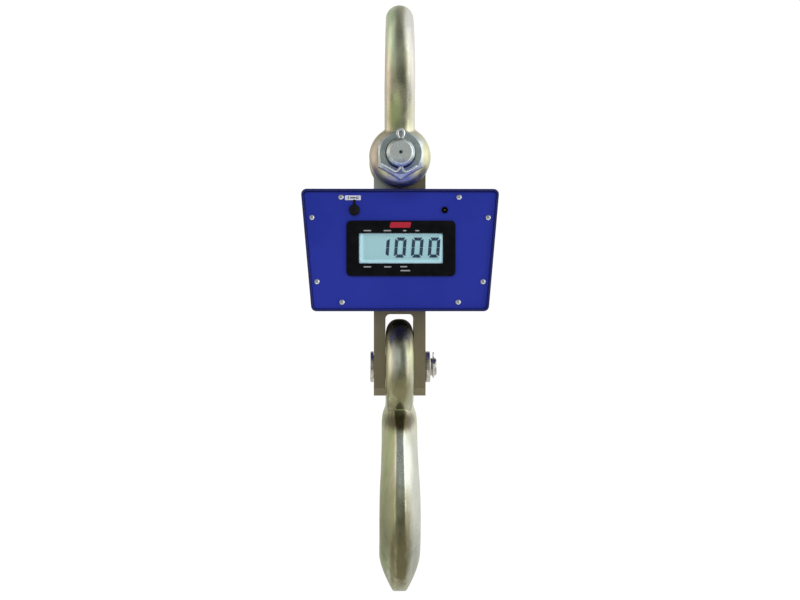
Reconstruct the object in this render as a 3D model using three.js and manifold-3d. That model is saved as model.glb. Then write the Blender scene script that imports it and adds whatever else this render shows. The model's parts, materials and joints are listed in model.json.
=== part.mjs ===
// Crane scale: a bolt-type shackle, a load bar that carries the instrument housing,
// and an eye hook on a pin in the fork at the bar's lower end.
// Millimetres. The origin is the inside of the shackle's crown, where a crane hook bears.
// +Z is up, the display faces -Y, and +X is to the right of someone who reads the display.

import * as THREE from "three";
import { mergeVertices } from "three/addons/utils/BufferGeometryUtils.js";
import Module from "manifold-3d";

const wasm = await Module();
wasm.setup();

// ---------------------------------------------------------------- driving dimensions

const GAP = 0.3; // clearance between pieces that touch on the real object

const BOLT_AXIS_Z = -165; // shackle bolt, along Y
const HOOK_AXIS_Z = -436; // hook pin, along X

const BOW = { wire: 36, legWidth: 38.4, crownRadius: 49 };
const BOW_EYE = { y: 46.5, radius: 39.5, width: 36, hole: 19.3 };
const BOLT = { shank: 19, thread: 17.75, end: -109, chamfered: 13.5, shoulder: -62 };
const NUT = { acrossFlats: 56, thickness: 28, face: -64.8 };

const BAR = { width: 67, depth: 50, bottom: -472.4, slotWidth: 36.8, slotTop: -367, slotCorner: 6 };
const TAPER = { height: 9.5, depth: 2 }; // at the lower ends of the fork's legs
const POCKET = { radius: 19, depth: 11, z: -285 };

const HOUSING = { top: -207, bottom: -363, topHalf: 126.6, bottomHalf: 112.8, depth: 116, wall: 3 };
const RIM = HOUSING.depth / 2; // the rim's front edge is at y = -RIM, the rear face at y = +RIM
const COVER = { front: -54, thickness: 2 };
const FRAME = { front: -50.5, back: -38, thickness: 2, reach: 19 };
const COVER_SCREWS = [
  [-75.2, -217.5],
  [75.2, -217.5],
  [112.5, -243.5],
  [106, -325.3],
  [74, -351.5],
  [-74, -351.5],
  [-106, -325.3],
  [-112.5, -243.5],
];

const DISPLAY = { x: 1, z: -282.7, width: 139, height: 70.6, windowWidth: 106.6, windowHeight: 38.4 };
const CUTOUT = { width: 123, height: 55, corner: 3 };
const PANEL_ROW_Z = -233.8; // height of the switch and of the charging jack
const SWITCH_X = -58.3;
const JACK_X = 56.9;
const LEVER = { pivotY: -51, tilt: 26, length: 23.5 };

const EYE = { offset: -2.7, hole: 18.5, outer: 65.5, width: 35.6 };
const PIN = { shank: 15.5, stub: 11.5, head: 20.3, end: 48.5 };
const LATCH = { y: 10.2, z: -99, angle: -59.6, length: 68, halfWidth: 14.6, sheet: 2.4 };

// ---------------------------------------------------------------- materials

const finishes = {
  yellow_zinc: { color: 0xa8a272, metalness: 0.8, roughness: 0.4 },
  blue_zinc: { color: 0xb4bcc6, metalness: 0.9, roughness: 0.3 },
  machined_steel: { color: 0x8a8378, metalness: 0.9, roughness: 0.4 },
  blue_paint: { color: 0x28308c, metalness: 0.1, roughness: 0.45 },
  rubber: { color: 0x141414, metalness: 0, roughness: 0.85 },
  black_plastic: { color: 0x101114, metalness: 0, roughness: 0.35 },
  clear_window: { color: 0xd8e4e6, metalness: 0, roughness: 0.05 },
  display_glass: { color: 0x9cbec2, metalness: 0, roughness: 0.2 },
  circuit_board: { color: 0x1d5a34, metalness: 0, roughness: 0.5 },
  label: { color: 0xe8e8e4, metalness: 0, roughness: 0.5 },
  steel: { color: 0xc0c2c4, metalness: 0.9, roughness: 0.3 },
  battery_case: { color: 0x3a3d42, metalness: 0, roughness: 0.6 },
  cable: { color: 0x2a2c2e, metalness: 0, roughness: 0.6 },
};

const scale = new THREE.Group();
scale.name = "crane_scale";

function addNode(name, finish, geometry) {
  const mesh = new THREE.Mesh(geometry, new THREE.MeshStandardMaterial(finishes[finish]));
  mesh.name = name;
  scale.add(mesh);
  return mesh;
}

// ---------------------------------------------------------------- solids

// A geometry as a manifold solid: vertices merged, degenerate triangles dropped, faces outwards.
function toSolid(geometry) {
  const bare = new THREE.BufferGeometry();
  const soup = geometry.index ? geometry.toNonIndexed() : geometry;
  bare.setAttribute("position", soup.getAttribute("position"));
  const merged = mergeVertices(bare, 1e-3);
  const triangles = [];
  for (let i = 0; i < merged.index.count; i += 3) {
    const [a, b, c] = [0, 1, 2].map((k) => merged.index.getX(i + k));
    if (a !== b && b !== c && c !== a) triangles.push([a, b, c]);
  }
  const build = (list) =>
    new wasm.Manifold(
      new wasm.Mesh({
        numProp: 3,
        vertProperties: merged.attributes.position.array,
        triVerts: new Uint32Array(list.flat()),
      }),
    );
  const solid = build(triangles);
  return solid.volume() < 0 ? build(triangles.map(([a, b, c]) => [a, c, b])) : solid;
}

function toGeometry(solid) {
  const mesh = solid.getMesh();
  const positions = new Float32Array(mesh.numVert * 3);
  for (let i = 0; i < mesh.numVert; i++) {
    const start = i * mesh.numProp;
    positions.set(mesh.vertProperties.subarray(start, start + 3), i * 3);
  }
  const geometry = new THREE.BufferGeometry();
  geometry.setAttribute("position", new THREE.BufferAttribute(positions, 3));
  geometry.setIndex(new THREE.BufferAttribute(mesh.triVerts, 1));
  return geometry;
}

const join = (...parts) => toGeometry(parts.map(toSolid).reduce((all, one) => all.add(one)));

const cut = (body, ...tools) =>
  toGeometry(tools.reduce((left, tool) => left.subtract(toSolid(tool)), toSolid(body)));

const common = (a, b) => toGeometry(toSolid(a).intersect(toSolid(b)));

// ---------------------------------------------------------------- simple shapes

const X = new THREE.Vector3(1, 0, 0);
const Y = new THREE.Vector3(0, 1, 0);
const Z = new THREE.Vector3(0, 0, 1);

function box([x0, x1], [y0, y1], [z0, z1]) {
  const geometry = new THREE.BoxGeometry(x1 - x0, y1 - y0, z1 - z0);
  return geometry.translate((x0 + x1) / 2, (y0 + y1) / 2, (z0 + z1) / 2);
}

// A solid of revolution. The profile lists [radius, distance along the axis].
function turned(profile, axis, [x, y, z], segments = 40) {
  const points = profile.map(([r, d]) => new THREE.Vector2(r, d));
  const geometry = new THREE.LatheGeometry(points, segments);
  geometry.applyQuaternion(new THREE.Quaternion().setFromUnitVectors(Y, axis));
  return geometry.translate(x, y, z);
}

function rod(radius, from, to, axis, at, segments = 32) {
  const profile = [[0, from], [radius, from], [radius, to], [0, to]];
  return turned(profile, axis, at, segments);
}

// A closed outline of [a, b] points with its corners rounded.
function rounded(corners, radius, steps = 5) {
  const shape = new THREE.Shape();
  const count = corners.length;
  const radii = Array.isArray(radius) ? radius : corners.map(() => radius);
  corners.forEach((corner, i) => {
    const here = new THREE.Vector2(...corner);
    const before = new THREE.Vector2(...corners[(i + count - 1) % count]).sub(here).normalize();
    const after = new THREE.Vector2(...corners[(i + 1) % count]).sub(here).normalize();
    const half = before.angleTo(after) / 2;
    const r = radii[i];
    if (!r) {
      if (i === 0) shape.moveTo(here.x, here.y);
      else shape.lineTo(here.x, here.y);
      return;
    }
    const reach = r / Math.tan(half);
    const centre = before.clone().add(after).normalize().multiplyScalar(r / Math.sin(half)).add(here);
    const start = here.clone().addScaledVector(before, reach).sub(centre);
    const end = here.clone().addScaledVector(after, reach).sub(centre);
    const turn = Math.atan2(start.cross(end), start.dot(end));
    for (let k = 0; k <= steps; k++) {
      const point = start.clone().rotateAround(new THREE.Vector2(), (turn * k) / steps).add(centre);
      if (i === 0 && k === 0) shape.moveTo(point.x, point.y);
      else shape.lineTo(point.x, point.y);
    }
  });
  shape.closePath();
  return shape;
}

const rectangle = (x, z, width, height) => [
  [x - width / 2, z - height / 2],
  [x + width / 2, z - height / 2],
  [x + width / 2, z + height / 2],
  [x - width / 2, z + height / 2],
];

// A shape drawn in X and Z, with thickness along Y.
function plateXZ(shape, [y0, y1], curveSegments = 12) {
  const geometry = new THREE.ExtrudeGeometry(shape, { depth: y1 - y0, bevelEnabled: false, curveSegments });
  geometry.applyMatrix4(new THREE.Matrix4().makeBasis(X, Z, Y.clone().negate()));
  return geometry.translate(0, y1, 0);
}

// A shape drawn in Y and Z, with thickness along X.
function plateYZ(shape, [x0, x1], curveSegments = 12) {
  const geometry = new THREE.ExtrudeGeometry(shape, { depth: x1 - x0, bevelEnabled: false, curveSegments });
  geometry.applyMatrix4(new THREE.Matrix4().makeBasis(Y, Z, X));
  return geometry.translate(x0, 0, 0);
}

// A round wire or tube along a smooth path through the points.
function wire(points, radius, steps, sides = 8) {
  const path = new THREE.CatmullRomCurve3(points.map((p) => new THREE.Vector3(...p)), false, "centripetal");
  const circle = new THREE.Shape();
  for (let k = 0; k < sides; k++) {
    const angle = (2 * Math.PI * k) / sides;
    const [a, b] = [radius * Math.cos(angle), radius * Math.sin(angle)];
    if (k === 0) circle.moveTo(a, b);
    else circle.lineTo(a, b);
  }
  circle.closePath();
  return new THREE.ExtrudeGeometry(circle, { steps, bevelEnabled: false, extrudePath: path });
}

// A closed skin over sections that all list the same number of points, capped at both ends.
function lofted(sections) {
  const count = sections[0].length;
  const positions = sections.flat().flatMap((p) => [p.x, p.y, p.z]);
  const index = [];
  for (let s = 0; s + 1 < sections.length; s++) {
    for (let k = 0; k < count; k++) {
      const [a, b] = [s * count + k, s * count + ((k + 1) % count)];
      index.push(a, b, b + count, a, b + count, a + count);
    }
  }
  const last = (sections.length - 1) * count;
  for (let k = 1; k + 1 < count; k++) {
    index.push(0, k + 1, k);
    index.push(last, last + k, last + k + 1);
  }
  const geometry = new THREE.BufferGeometry();
  geometry.setAttribute("position", new THREE.Float32BufferAttribute(positions, 3));
  geometry.setIndex(index);
  return geometry;
}

// ---------------------------------------------------------------- shackle

// The bow's centre line, from one eye over the crown to the other, in the Y-Z plane.
function bowPath() {
  const radius = BOW.crownRadius + BOW.wire / 2;
  const centreZ = BOW.wire / 2 - radius;
  const leg = [[BOW_EYE.y, BOLT_AXIS_Z + 14], [BOW_EYE.y + 0.5, -130], [54, -100]];
  const arc = [-14, 10, 34, 58, 76].map((degrees) => {
    const angle = THREE.MathUtils.degToRad(degrees);
    return [radius * Math.cos(angle), centreZ + radius * Math.sin(angle)];
  });
  const half = [...leg, ...arc];
  const other = half.map(([y, z]) => [-y, z]).reverse();
  return [...half, [0, centreZ + radius], ...other].map(([y, z]) => [0, y, z]);
}

// Sections along the bow: round at the crown, and a little wider in X towards the legs.
function bowSections(steps, sides) {
  const places = bowPath().map((p) => new THREE.Vector3(...p));
  const path = new THREE.CatmullRomCurve3(places, false, "centripetal");
  const sections = [];
  for (let s = 0; s <= steps; s++) {
    const centre = path.getPoint(s / steps);
    const normal = new THREE.Vector3().crossVectors(path.getTangent(s / steps), X).normalize();
    const below = THREE.MathUtils.clamp((BOW.wire / 2 - centre.z) / 80, 0, 1);
    const halfWidth = THREE.MathUtils.lerp(BOW.wire, BOW.legWidth, below) / 2;
    const section = [];
    for (let k = 0; k < sides; k++) {
      const angle = (2 * Math.PI * k) / sides;
      const across = X.clone().multiplyScalar(halfWidth * Math.cos(angle));
      const through = normal.clone().multiplyScalar((BOW.wire / 2) * Math.sin(angle));
      section.push(centre.clone().add(across).add(through));
    }
    sections.push(section);
  }
  return sections;
}

// The eyes are domed outside, round the nut's seat, and only rounded on the side of the load bar.
function shackleBow() {
  const edge = BOW_EYE.width / 2;
  const r = BOW_EYE.radius;
  const inner = [[0, -edge], [r - 7, -edge], [r - 2.1, -edge + 2.6], [r, -edge + 9]];
  const domed = [[r, -2], [r - 1.9, 6.6], [r - 6.8, 13.8], [r - 13, edge], [0, edge]];
  const eyes = [-1, 1].map((side) => {
    const profile = [...inner, ...domed].map(([radius, y]) => [radius, side * y]);
    return turned(side < 0 ? profile.reverse() : profile, Y, [0, side * BOW_EYE.y, BOLT_AXIS_Z], 36);
  });
  const body = join(lofted(bowSections(36, 16)), ...eyes);
  return cut(body, rod(BOW_EYE.hole, -80, 80, Y, [0, 0, BOLT_AXIS_Z], 36));
}

// A hexagonal prism along an axis with its corners chamfered at both faces.
function hexagon(acrossFlats, from, to, axis, at, segments = 24) {
  const corner = acrossFlats / Math.sqrt(3);
  const prism = rod(corner, from, to, axis, at, 6);
  const face = acrossFlats * 0.468;
  const drop = (corner - face) * 0.8;
  const blank = [[0, from], [face, from], [corner, from + drop], [corner, to - drop], [face, to], [0, to]];
  return common(prism, turned(blank, axis, at, segments));
}

function shackleBolt() {
  const head = hexagon(NUT.acrossFlats, 64.8, 86.8, Y, [0, 0, BOLT_AXIS_Z], 36);
  const profile = [
    [0, 70],
    [BOLT.shank, 70],
    [BOLT.shank, BOLT.shoulder],
    [BOLT.thread, BOLT.shoulder - 1.2],
    [BOLT.thread, BOLT.end + 4.4],
    [BOLT.chamfered, BOLT.end],
    [1.4, BOLT.end],
    [0, BOLT.end + 1.6],
  ];
  const bolt = join(head, turned(profile, Y, [0, 0, BOLT_AXIS_Z], 32));
  return cut(bolt, rod(3.1, -30, 30, Z, [0, -95.4, BOLT_AXIS_Z], 16));
}

function shackleNut() {
  const nut = hexagon(NUT.acrossFlats, NUT.face - NUT.thickness, NUT.face, Y, [0, 0, BOLT_AXIS_Z], 36);
  return cut(nut, rod(BOLT.thread + GAP, -110, -50, Y, [0, 0, BOLT_AXIS_Z], 32));
}

// A split pin of round wire: one tail, up one leg, round the loop, down the other leg, other tail.
// Points are [across, along] the pin; place() puts them in space.
function splitPin(outline, radius, steps, place) {
  return wire(outline.map(([a, b]) => place(a, b)), radius, steps, 6);
}

function shackleSplitPin() {
  const outline = [
    [-25, -12.5],
    [-15, -18],
    [-6, -22.5],
    [-1.6, -19],
    [-1.6, 0],
    [-1.6, 18],
    [-3.9, 23],
    [-3.2, 27.6],
    [0, 29.4],
    [3.2, 27.6],
    [3.9, 23],
    [1.6, 18],
    [1.6, 0],
    [1.6, -19],
    [6, -23],
    [13, -20.5],
    [20, -16.5],
  ];
  return splitPin(outline, 1.3, 38, (a, b) => [a, -95.4, BOLT_AXIS_Z + b]);
}

addNode("shackle_bow", "yellow_zinc", shackleBow());
addNode("shackle_bolt", "blue_zinc", shackleBolt());
addNode("shackle_nut", "blue_zinc", shackleNut());
addNode("shackle_split_pin", "blue_zinc", shackleSplitPin());

// ---------------------------------------------------------------- load bar

function loadBar() {
  const half = BAR.width / 2;
  const outline = new THREE.Shape();
  outline.moveTo(-half, BAR.bottom);
  outline.lineTo(half, BAR.bottom);
  outline.lineTo(half, BOLT_AXIS_Z);
  outline.absarc(0, BOLT_AXIS_Z, half, 0, Math.PI, false);
  outline.lineTo(-half, BAR.bottom);
  const slab = plateXZ(outline, [-BAR.depth / 2, BAR.depth / 2], 24);

  const slotHeight = BAR.slotTop - BAR.bottom + 20;
  const slotShape = rounded(
    rectangle(0, BAR.slotTop - slotHeight / 2, BAR.slotWidth, slotHeight),
    [0, 0, BAR.slotCorner, BAR.slotCorner],
  );
  const slot = plateXZ(slotShape, [-60, 60]);

  const pockets = [-1, 1].map((side) => {
    const face = (side * BAR.depth) / 2;
    const span = [face - side * POCKET.depth, face + side * 5].sort((a, b) => a - b);
    return rod(POCKET.radius, ...span, Y, [0, 0, POCKET.z], 36);
  });
  const recesses = [-1, 1].map((side) => {
    const face = (side * BAR.depth) / 2;
    const span = [face - side * 1.8, face + side * 5].sort((a, b) => a - b);
    return rod(POCKET.radius + 3, ...span, Y, [0, 0, POCKET.z], 36);
  });
  const leadHole = rod(3.2, 0, 60, X, [0, -17, POCKET.z], 16);

  // The legs' lower ends taper towards the edge at the front and at the back.
  const lean = Math.atan2(TAPER.depth, TAPER.height);
  const tapers = [-1, 1].map((side) =>
    box([-40, 40], side < 0 ? [-8, 0] : [0, 8], [-20, 20])
      .rotateX(-side * lean)
      .translate(0, (side * BAR.depth) / 2, BAR.bottom + TAPER.height),
  );
  return cut(
    slab,
    slot,
    ...pockets,
    ...recesses,
    ...tapers,
    leadHole,
    rod(BOLT.shank + GAP, -60, 60, Y, [0, 0, BOLT_AXIS_Z], 40),
    rod(PIN.shank + GAP, -60, 60, X, [0, 0, HOOK_AXIS_Z], 36),
  );
}

function gaugeCover(side) {
  const face = (side * BAR.depth) / 2;
  const r = POCKET.radius + 3 - GAP;
  const plug = POCKET.radius - 0.6;
  const out = side < 0 ? Y.clone().negate() : Y;
  const profile = [[0, -4], [plug, -4], [plug, -1.4], [r, -1.4], [r, -0.3], [r - 0.7, 0.2], [0, 0.2]];
  return turned(profile, out, [0, face, POCKET.z], 36);
}

addNode("load_bar", "machined_steel", loadBar());
addNode("gauge_cover_front", "steel", gaugeCover(-1));
addNode("gauge_cover_rear", "steel", gaugeCover(1));

// ---------------------------------------------------------------- housing

// The housing's outline in X and Z, drawn in by a margin on every side.
function housingOutline(margin, radius) {
  const height = HOUSING.top - HOUSING.bottom;
  const slope = (HOUSING.topHalf - HOUSING.bottomHalf) / height;
  const side = margin * Math.hypot(1, slope);
  const top = HOUSING.topHalf - side - margin * slope;
  const bottom = HOUSING.bottomHalf - side + margin * slope;
  return rounded(
    [
      [-bottom, HOUSING.bottom + margin],
      [bottom, HOUSING.bottom + margin],
      [top, HOUSING.top - margin],
      [-top, HOUSING.top - margin],
    ],
    radius,
  );
}

const screwHoles = (radius, from, to) =>
  COVER_SCREWS.map(([x, z]) => rod(radius, from, to, Y, [x, 0, z], 16));

// A tray of folded sheet, open to the front, with a slot at the top and bottom for the bar.
function housingShell() {
  const outside = plateXZ(housingOutline(0, 7), [-RIM, RIM]);
  const hollow = plateXZ(housingOutline(HOUSING.wall, 4), [-RIM - 5, RIM - HOUSING.wall]);
  const [halfX, halfY] = [BAR.width / 2 + 0.6, BAR.depth / 2 + 0.6];
  return cut(outside, hollow, box([-halfX, halfX], [-halfY, halfY], [-400, -180]));
}

// The angle frame inside the rim: one leg lies on the shell's walls, the other carries the cover.
function coverFrame() {
  const { front, back, thickness, reach } = FRAME;
  const edge = HOUSING.wall + GAP;
  const blank = plateXZ(housingOutline(edge, 3.7), [front, back]);
  const insideLegs = plateXZ(housingOutline(edge + thickness, 1.7), [front + thickness, back + 5]);
  return cut(blank, insideLegs, plateXZ(housingOutline(reach, 5), [-60, -30]), ...screwHoles(2.2, -60, -40));
}

function frontCover() {
  const outline = housingOutline(HOUSING.wall + 0.5, 3.6);
  const plate = plateXZ(outline, [COVER.front, COVER.front + COVER.thickness]);
  const cutout = rounded(rectangle(DISPLAY.x, DISPLAY.z, CUTOUT.width, CUTOUT.height), CUTOUT.corner);
  return cut(
    plate,
    plateXZ(cutout, [-60, -40]),
    ...screwHoles(2.2, -60, -40),
    rod(3.6, -60, -40, Y, [SWITCH_X, 0, PANEL_ROW_Z], 20),
    rod(3.8, -60, -40, Y, [JACK_X, 0, PANEL_ROW_Z], 20),
  );
}

function coverGasket() {
  const back = FRAME.front - GAP;
  const front = COVER.front + COVER.thickness + GAP;
  return cut(
    plateXZ(housingOutline(HOUSING.wall + 1, 3), [front, back]),
    plateXZ(housingOutline(FRAME.reach - 1, 5), [-60, -40]),
    ...screwHoles(2.6, -60, -40),
  );
}

// A pan-head screw with a cross recess, its head towards -Y at the origin's plane.
function panHeadScrew(headRadius, headHeight, shankRadius, length) {
  const profile = [
    [0, -headHeight],
    [headRadius * 0.5, -headHeight * 0.95],
    [headRadius * 0.85, -headHeight * 0.7],
    [headRadius, -headHeight * 0.3],
    [headRadius, 0],
    [shankRadius, 0],
    [shankRadius, length - 0.6],
    [shankRadius - 0.6, length],
    [0, length],
  ];
  const wide = headRadius * 0.55;
  const slots = [
    box([-wide, wide], [-headHeight - 1, -headHeight * 0.45], [-0.45, 0.45]),
    box([-0.45, 0.45], [-headHeight - 1, -headHeight * 0.45], [-wide, wide]),
  ];
  return cut(turned(profile, Y, [0, 0, 0], 12), ...slots);
}

addNode("housing_shell", "blue_paint", housingShell());
addNode("cover_frame", "blue_paint", coverFrame());
addNode("front_cover", "blue_paint", frontCover());
addNode("cover_gasket", "rubber", coverGasket());
COVER_SCREWS.forEach(([x, z], i) => {
  const screw = panHeadScrew(3.7, 2.6, 1.9, 9);
  addNode(`cover_screw_${i + 1}`, "steel", screw).position.set(x, COVER.front - 0.15, z);
});

// A rubber seal round the bar: a sleeve outside the housing wall with a lip that fills the slot.
function barSeal(wallZ, up) {
  const [halfX, halfY] = [BAR.width / 2 + 0.3, BAR.depth / 2 + 0.3];
  const spans = (grow, z0, z1) => {
    const z = [wallZ + up * z0, wallZ + up * z1].sort((a, b) => a - b);
    return box([-halfX - grow, halfX + grow], [-halfY - grow, halfY + grow], z);
  };
  const inside = spans(5, -HOUSING.wall - 5, -HOUSING.wall - 0.3);
  return cut(inside, spans(0, -30, 30));
}

addNode("top_seal", "rubber", barSeal(HOUSING.top, 1));
addNode("bottom_seal", "rubber", barSeal(HOUSING.bottom, -1));

// ---------------------------------------------------------------- display

function displayBezel() {
  const face = rounded(rectangle(DISPLAY.x, DISPLAY.z, DISPLAY.width, DISPLAY.height), 6);
  const collar = rounded(rectangle(DISPLAY.x, DISPLAY.z, CUTOUT.width - 0.8, CUTOUT.height - 0.8), 2.6);
  const well = rounded(rectangle(DISPLAY.x, DISPLAY.z, CUTOUT.width - 5, CUTOUT.height - 5), 1);
  const window = rounded(rectangle(DISPLAY.x, DISPLAY.z, DISPLAY.windowWidth, DISPLAY.windowHeight), 1);
  const body = join(plateXZ(face, [-56.6, -54.3]), plateXZ(collar, [-54.5, -48.6]));
  return cut(body, plateXZ(well, [-54.9, -40]), plateXZ(window, [-60, -40]));
}

function displayLens() {
  const [width, height] = [CUTOUT.width - 6, CUTOUT.height - 6];
  return plateXZ(rounded(rectangle(DISPLAY.x, DISPLAY.z, width, height), 0), [-54.6, -53.2]);
}

// The LCD cell: two sheets of glass, the rear one taller, where the contact pads are.
function lcdGlass() {
  const { x, z } = DISPLAY;
  const [half, low, high] = [(CUTOUT.width - 8) / 2, z - 23, z + 23];
  const front = box([x - half, x + half], [-52.9, -51.7], [low + 3, high]);
  const back = box([x - half, x + half], [-51.71, -50.4], [low, high]);
  return join(front, back);
}

// The main board with its controller, display connector, relief slots and four mounting holes.
function displayBoard() {
  const { x, z } = DISPLAY;
  const board = box([x - 76, x + 76], [-46.4, -44.8], [z - 33, z + 33]);
  const parts = [
    box([x - 52, x + 52], [-44.9, -41.2], [z - 28, z - 22]),
    box([x - 12, x + 6], [-44.9, -42.4], [z - 8, z + 10]),
    box([x + 22, x + 34], [-44.9, -43], [z - 4, z + 12]),
    box([x - 44, x - 36], [-44.9, -38], [z + 12, z + 28]),
    box([x + 44, x + 60], [-44.9, -39], [z + 16, z + 26]),
    box([x - 66, x - 54], [-44.9, -38], [z - 20, z - 8]),
  ];
  const holes = standoffPlaces().map(([px, pz]) => rod(1.7, -60, -40, Y, [px, 0, pz], 12));
  return cut(join(board, ...parts), ...holes);
}

const standoffPlaces = () =>
  [[-1, -1], [1, -1], [1, 1], [-1, 1]].map(([sx, sz]) => [DISPLAY.x + sx * 70, DISPLAY.z + sz * 28]);

addNode("display_bezel", "black_plastic", displayBezel());
addNode("display_lens", "clear_window", displayLens());
addNode("lcd_glass", "display_glass", lcdGlass());
addNode("display_board", "circuit_board", displayBoard());
standoffPlaces().forEach(([x, z], i) => {
  const post = join(rod(3, -51.7, -46.7, Y, [x, 0, z], 6), rod(1.3, -47, -43.8, Y, [x, 0, z], 12));
  addNode(`board_standoff_${i + 1}`, "steel", post);
});

// ---------------------------------------------------------------- switch and jack

const leverDirection = () => {
  const tilt = THREE.MathUtils.degToRad(LEVER.tilt);
  return new THREE.Vector3(0, -Math.cos(tilt), Math.sin(tilt));
};

function switchBody() {
  const case_ = box([SWITCH_X - 4.2, SWITCH_X + 4.2], [-50.2, -38.5], [PANEL_ROW_Z - 6, PANEL_ROW_Z + 6]);
  const lugs = [-4.4, 0, 4.4].map((dz) =>
    box([SWITCH_X - 1, SWITCH_X + 1], [-38.6, -34], [PANEL_ROW_Z + dz - 0.5, PANEL_ROW_Z + dz + 0.5]),
  );
  const bushing = rod(3.2, -54.6, -50, Y, [SWITCH_X, 0, PANEL_ROW_Z], 20);
  const funnel = [[0, -46], [1.4, -46], [1.4, -50.5], [2.8, -55], [0, -55]];
  const mouth = turned(funnel, Y, [SWITCH_X, 0, PANEL_ROW_Z], 20);
  return cut(join(case_, ...lugs, bushing), mouth);
}

// The bat lever: a tapered round lever whose thicker end is rounded.
function switchLever() {
  const tip = LEVER.length;
  const root = [[0, -2.2], [0.5, -2], [0.75, 3]];
  const profile = [...root, [1.0, tip - 4], [1.35, tip - 2], [1.1, tip - 0.5], [0, tip]];
  return turned(profile, leverDirection(), [SWITCH_X, LEVER.pivotY, PANEL_ROW_Z], 12);
}

// The rubber boot: a round foot on the panel, a dome, and a sleeve along the lever.
function switchBoot() {
  const foot = [[0, -54.3], [7, -54.3], [7, -56.4], [6.5, -57.6], [5.6, -59.8], [3.6, -61.6], [0, -62.4]];
  const room = [[0, -50], [3.6, -50], [3.6, -57], [3.1, -59.4], [0, -60.2]];
  const at = [SWITCH_X, 0, PANEL_ROW_Z];
  const root = [SWITCH_X, LEVER.pivotY, PANEL_ROW_Z];
  const tip = LEVER.length;
  const end = [[1.95, tip + 0.4], [1.2, tip + 1.4], [0, tip + 1.6]];
  const sleeve = [[0, 6], [3.2, 7], [2.4, 12], [1.9, 16], ...end];
  const bore = [[0, -4], [1.7, -4], [1.65, tip - 0.4], [1.2, tip + 0.3], [0, tip + 0.5]];
  const body = join(turned(foot, Y, at, 24), turned(sleeve, leverDirection(), root, 16));
  return cut(body, turned(room, Y, at, 24), turned(bore, leverDirection(), root, 16));
}

function switchPlate() {
  const outline = rounded(rectangle(-60.2, -218.4, 20.2, 6), 0.8);
  return plateXZ(outline, [-54.9, -54.25]);
}

function chargingJack() {
  const at = [JACK_X, 0, PANEL_ROW_Z];
  const body = [[0, -38], [3.4, -38], [3.4, -54.3], [4.2, -54.3], [4.2, -55.6], [3.7, -56], [0, -56]];
  const socket = [[1, -42], [2.7, -42], [2.7, -57], [1, -57], [1, -42]];
  const contacts = [-1, 1].map((side) =>
    box([JACK_X + side * 2 - 0.4, JACK_X + side * 2 + 0.4], [-38.1, -34], [PANEL_ROW_Z - 1, PANEL_ROW_Z + 1]),
  );
  return join(cut(turned(body, Y, at, 24), turned(socket, Y, at, 24)), ...contacts);
}

function jackNut() {
  const blank = hexagon(11, -51.6, -49.2, Y, [JACK_X, 0, PANEL_ROW_Z], 12);
  return cut(blank, rod(3.7, -60, -40, Y, [JACK_X, 0, PANEL_ROW_Z], 20));
}

addNode("switch_body", "black_plastic", switchBody());
addNode("switch_lever", "steel", switchLever());
addNode("switch_boot", "rubber", switchBoot());
addNode("switch_plate", "label", switchPlate());
addNode("charging_jack", "black_plastic", chargingJack());
addNode("charging_jack_nut", "steel", jackNut());

// ---------------------------------------------------------------- inside the housing

// An angle bracket from the bar's side face to the housing's rear wall.
function bracket(side) {
  const barFace = BAR.width / 2 + GAP;
  const rear = RIM - HOUSING.wall - GAP;
  const onBar = [side * barFace, side * (barFace + 3)].sort((a, b) => a - b);
  const onWall = [side * barFace, side * (barFace + 26)].sort((a, b) => a - b);
  const body = join(box(onBar, [-14, rear], [-320, -250]), box(onWall, [rear - 3, rear], [-320, -250]));
  const holes = bracketBoltHeights().map((z) => rod(4.4, -60, 60, X, [0, 4, z], 16));
  return cut(body, ...holes);
}

const bracketBoltHeights = () => [-305, -265];

function bracketBolt(side, z) {
  const out = side < 0 ? X.clone().negate() : X;
  const seat = BAR.width / 2 + GAP + 3 + GAP;
  return hexagon(13, seat, seat + 5.5, out, [0, 4, z], 12);
}

// Rechargeable pack: a block with rounded edges, a lid step and two blade terminals.
function batteryPack() {
  const block = plateXZ(rounded(rectangle(-74, -300, 54, 92), 2.5), [-6, 46]);
  const lid = plateXZ(rounded(rectangle(-74, -252.6, 50, 3.4), 0.6), [-4, 44]);
  const blades = [-90, -58].map((x) => box([x - 2.4, x + 2.4], [0, 0.8], [-251.5, -244]));
  return join(block, lid, ...blades);
}

// A strap over the battery with one foot on the rear wall and one on the bracket's flange.
function batteryStrap() {
  const [front, rear] = [-6.3, RIM - HOUSING.wall - GAP];
  const flange = rear - 3 - GAP;
  const z = [-309, -291];
  return join(
    box([-102.5, -45.5], [front - 1.5, front], z),
    box([-102.8, -101.3], [front - 1.5, rear], z),
    box([-46.7, -45.2], [front - 1.5, flange], z),
    box([-110, -101.3], [rear - 1.5, rear], z),
    box([-46.7, -39], [flange - 1.5, flange], z),
  );
}

function loadCellLead() {
  const fromBar = [[27, -17, -285], [36, -17, -285], [44, -19, -281]];
  const points = [...fromBar, [50, -26, -270], [53, -32.5, -262.6], [53, -38.4, -262]];
  return wire(points, 2, 16, 8);
}

function batteryLead() {
  const fromBattery = [[-58, 6, -243.5], [-56, 2, -238], [-50, -14, -238]];
  const points = [...fromBattery, [-44, -26, -250], [-39, -32, -261], [-39, -37.5, -262]];
  return wire(points, 1.6, 20, 8);
}

[["left", -1], ["right", 1]].forEach(([name, side]) => {
  addNode(`bracket_${name}`, "steel", bracket(side));
  bracketBoltHeights().forEach((z, i) => {
    addNode(`bracket_bolt_${name}_${i + 1}`, "steel", bracketBolt(side, z));
  });
});
addNode("battery_pack", "battery_case", batteryPack());
addNode("battery_strap", "steel", batteryStrap());
addNode("load_cell_lead", "cable", loadCellLead());
addNode("battery_lead", "cable", batteryLead());

// ---------------------------------------------------------------- hook pin

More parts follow.
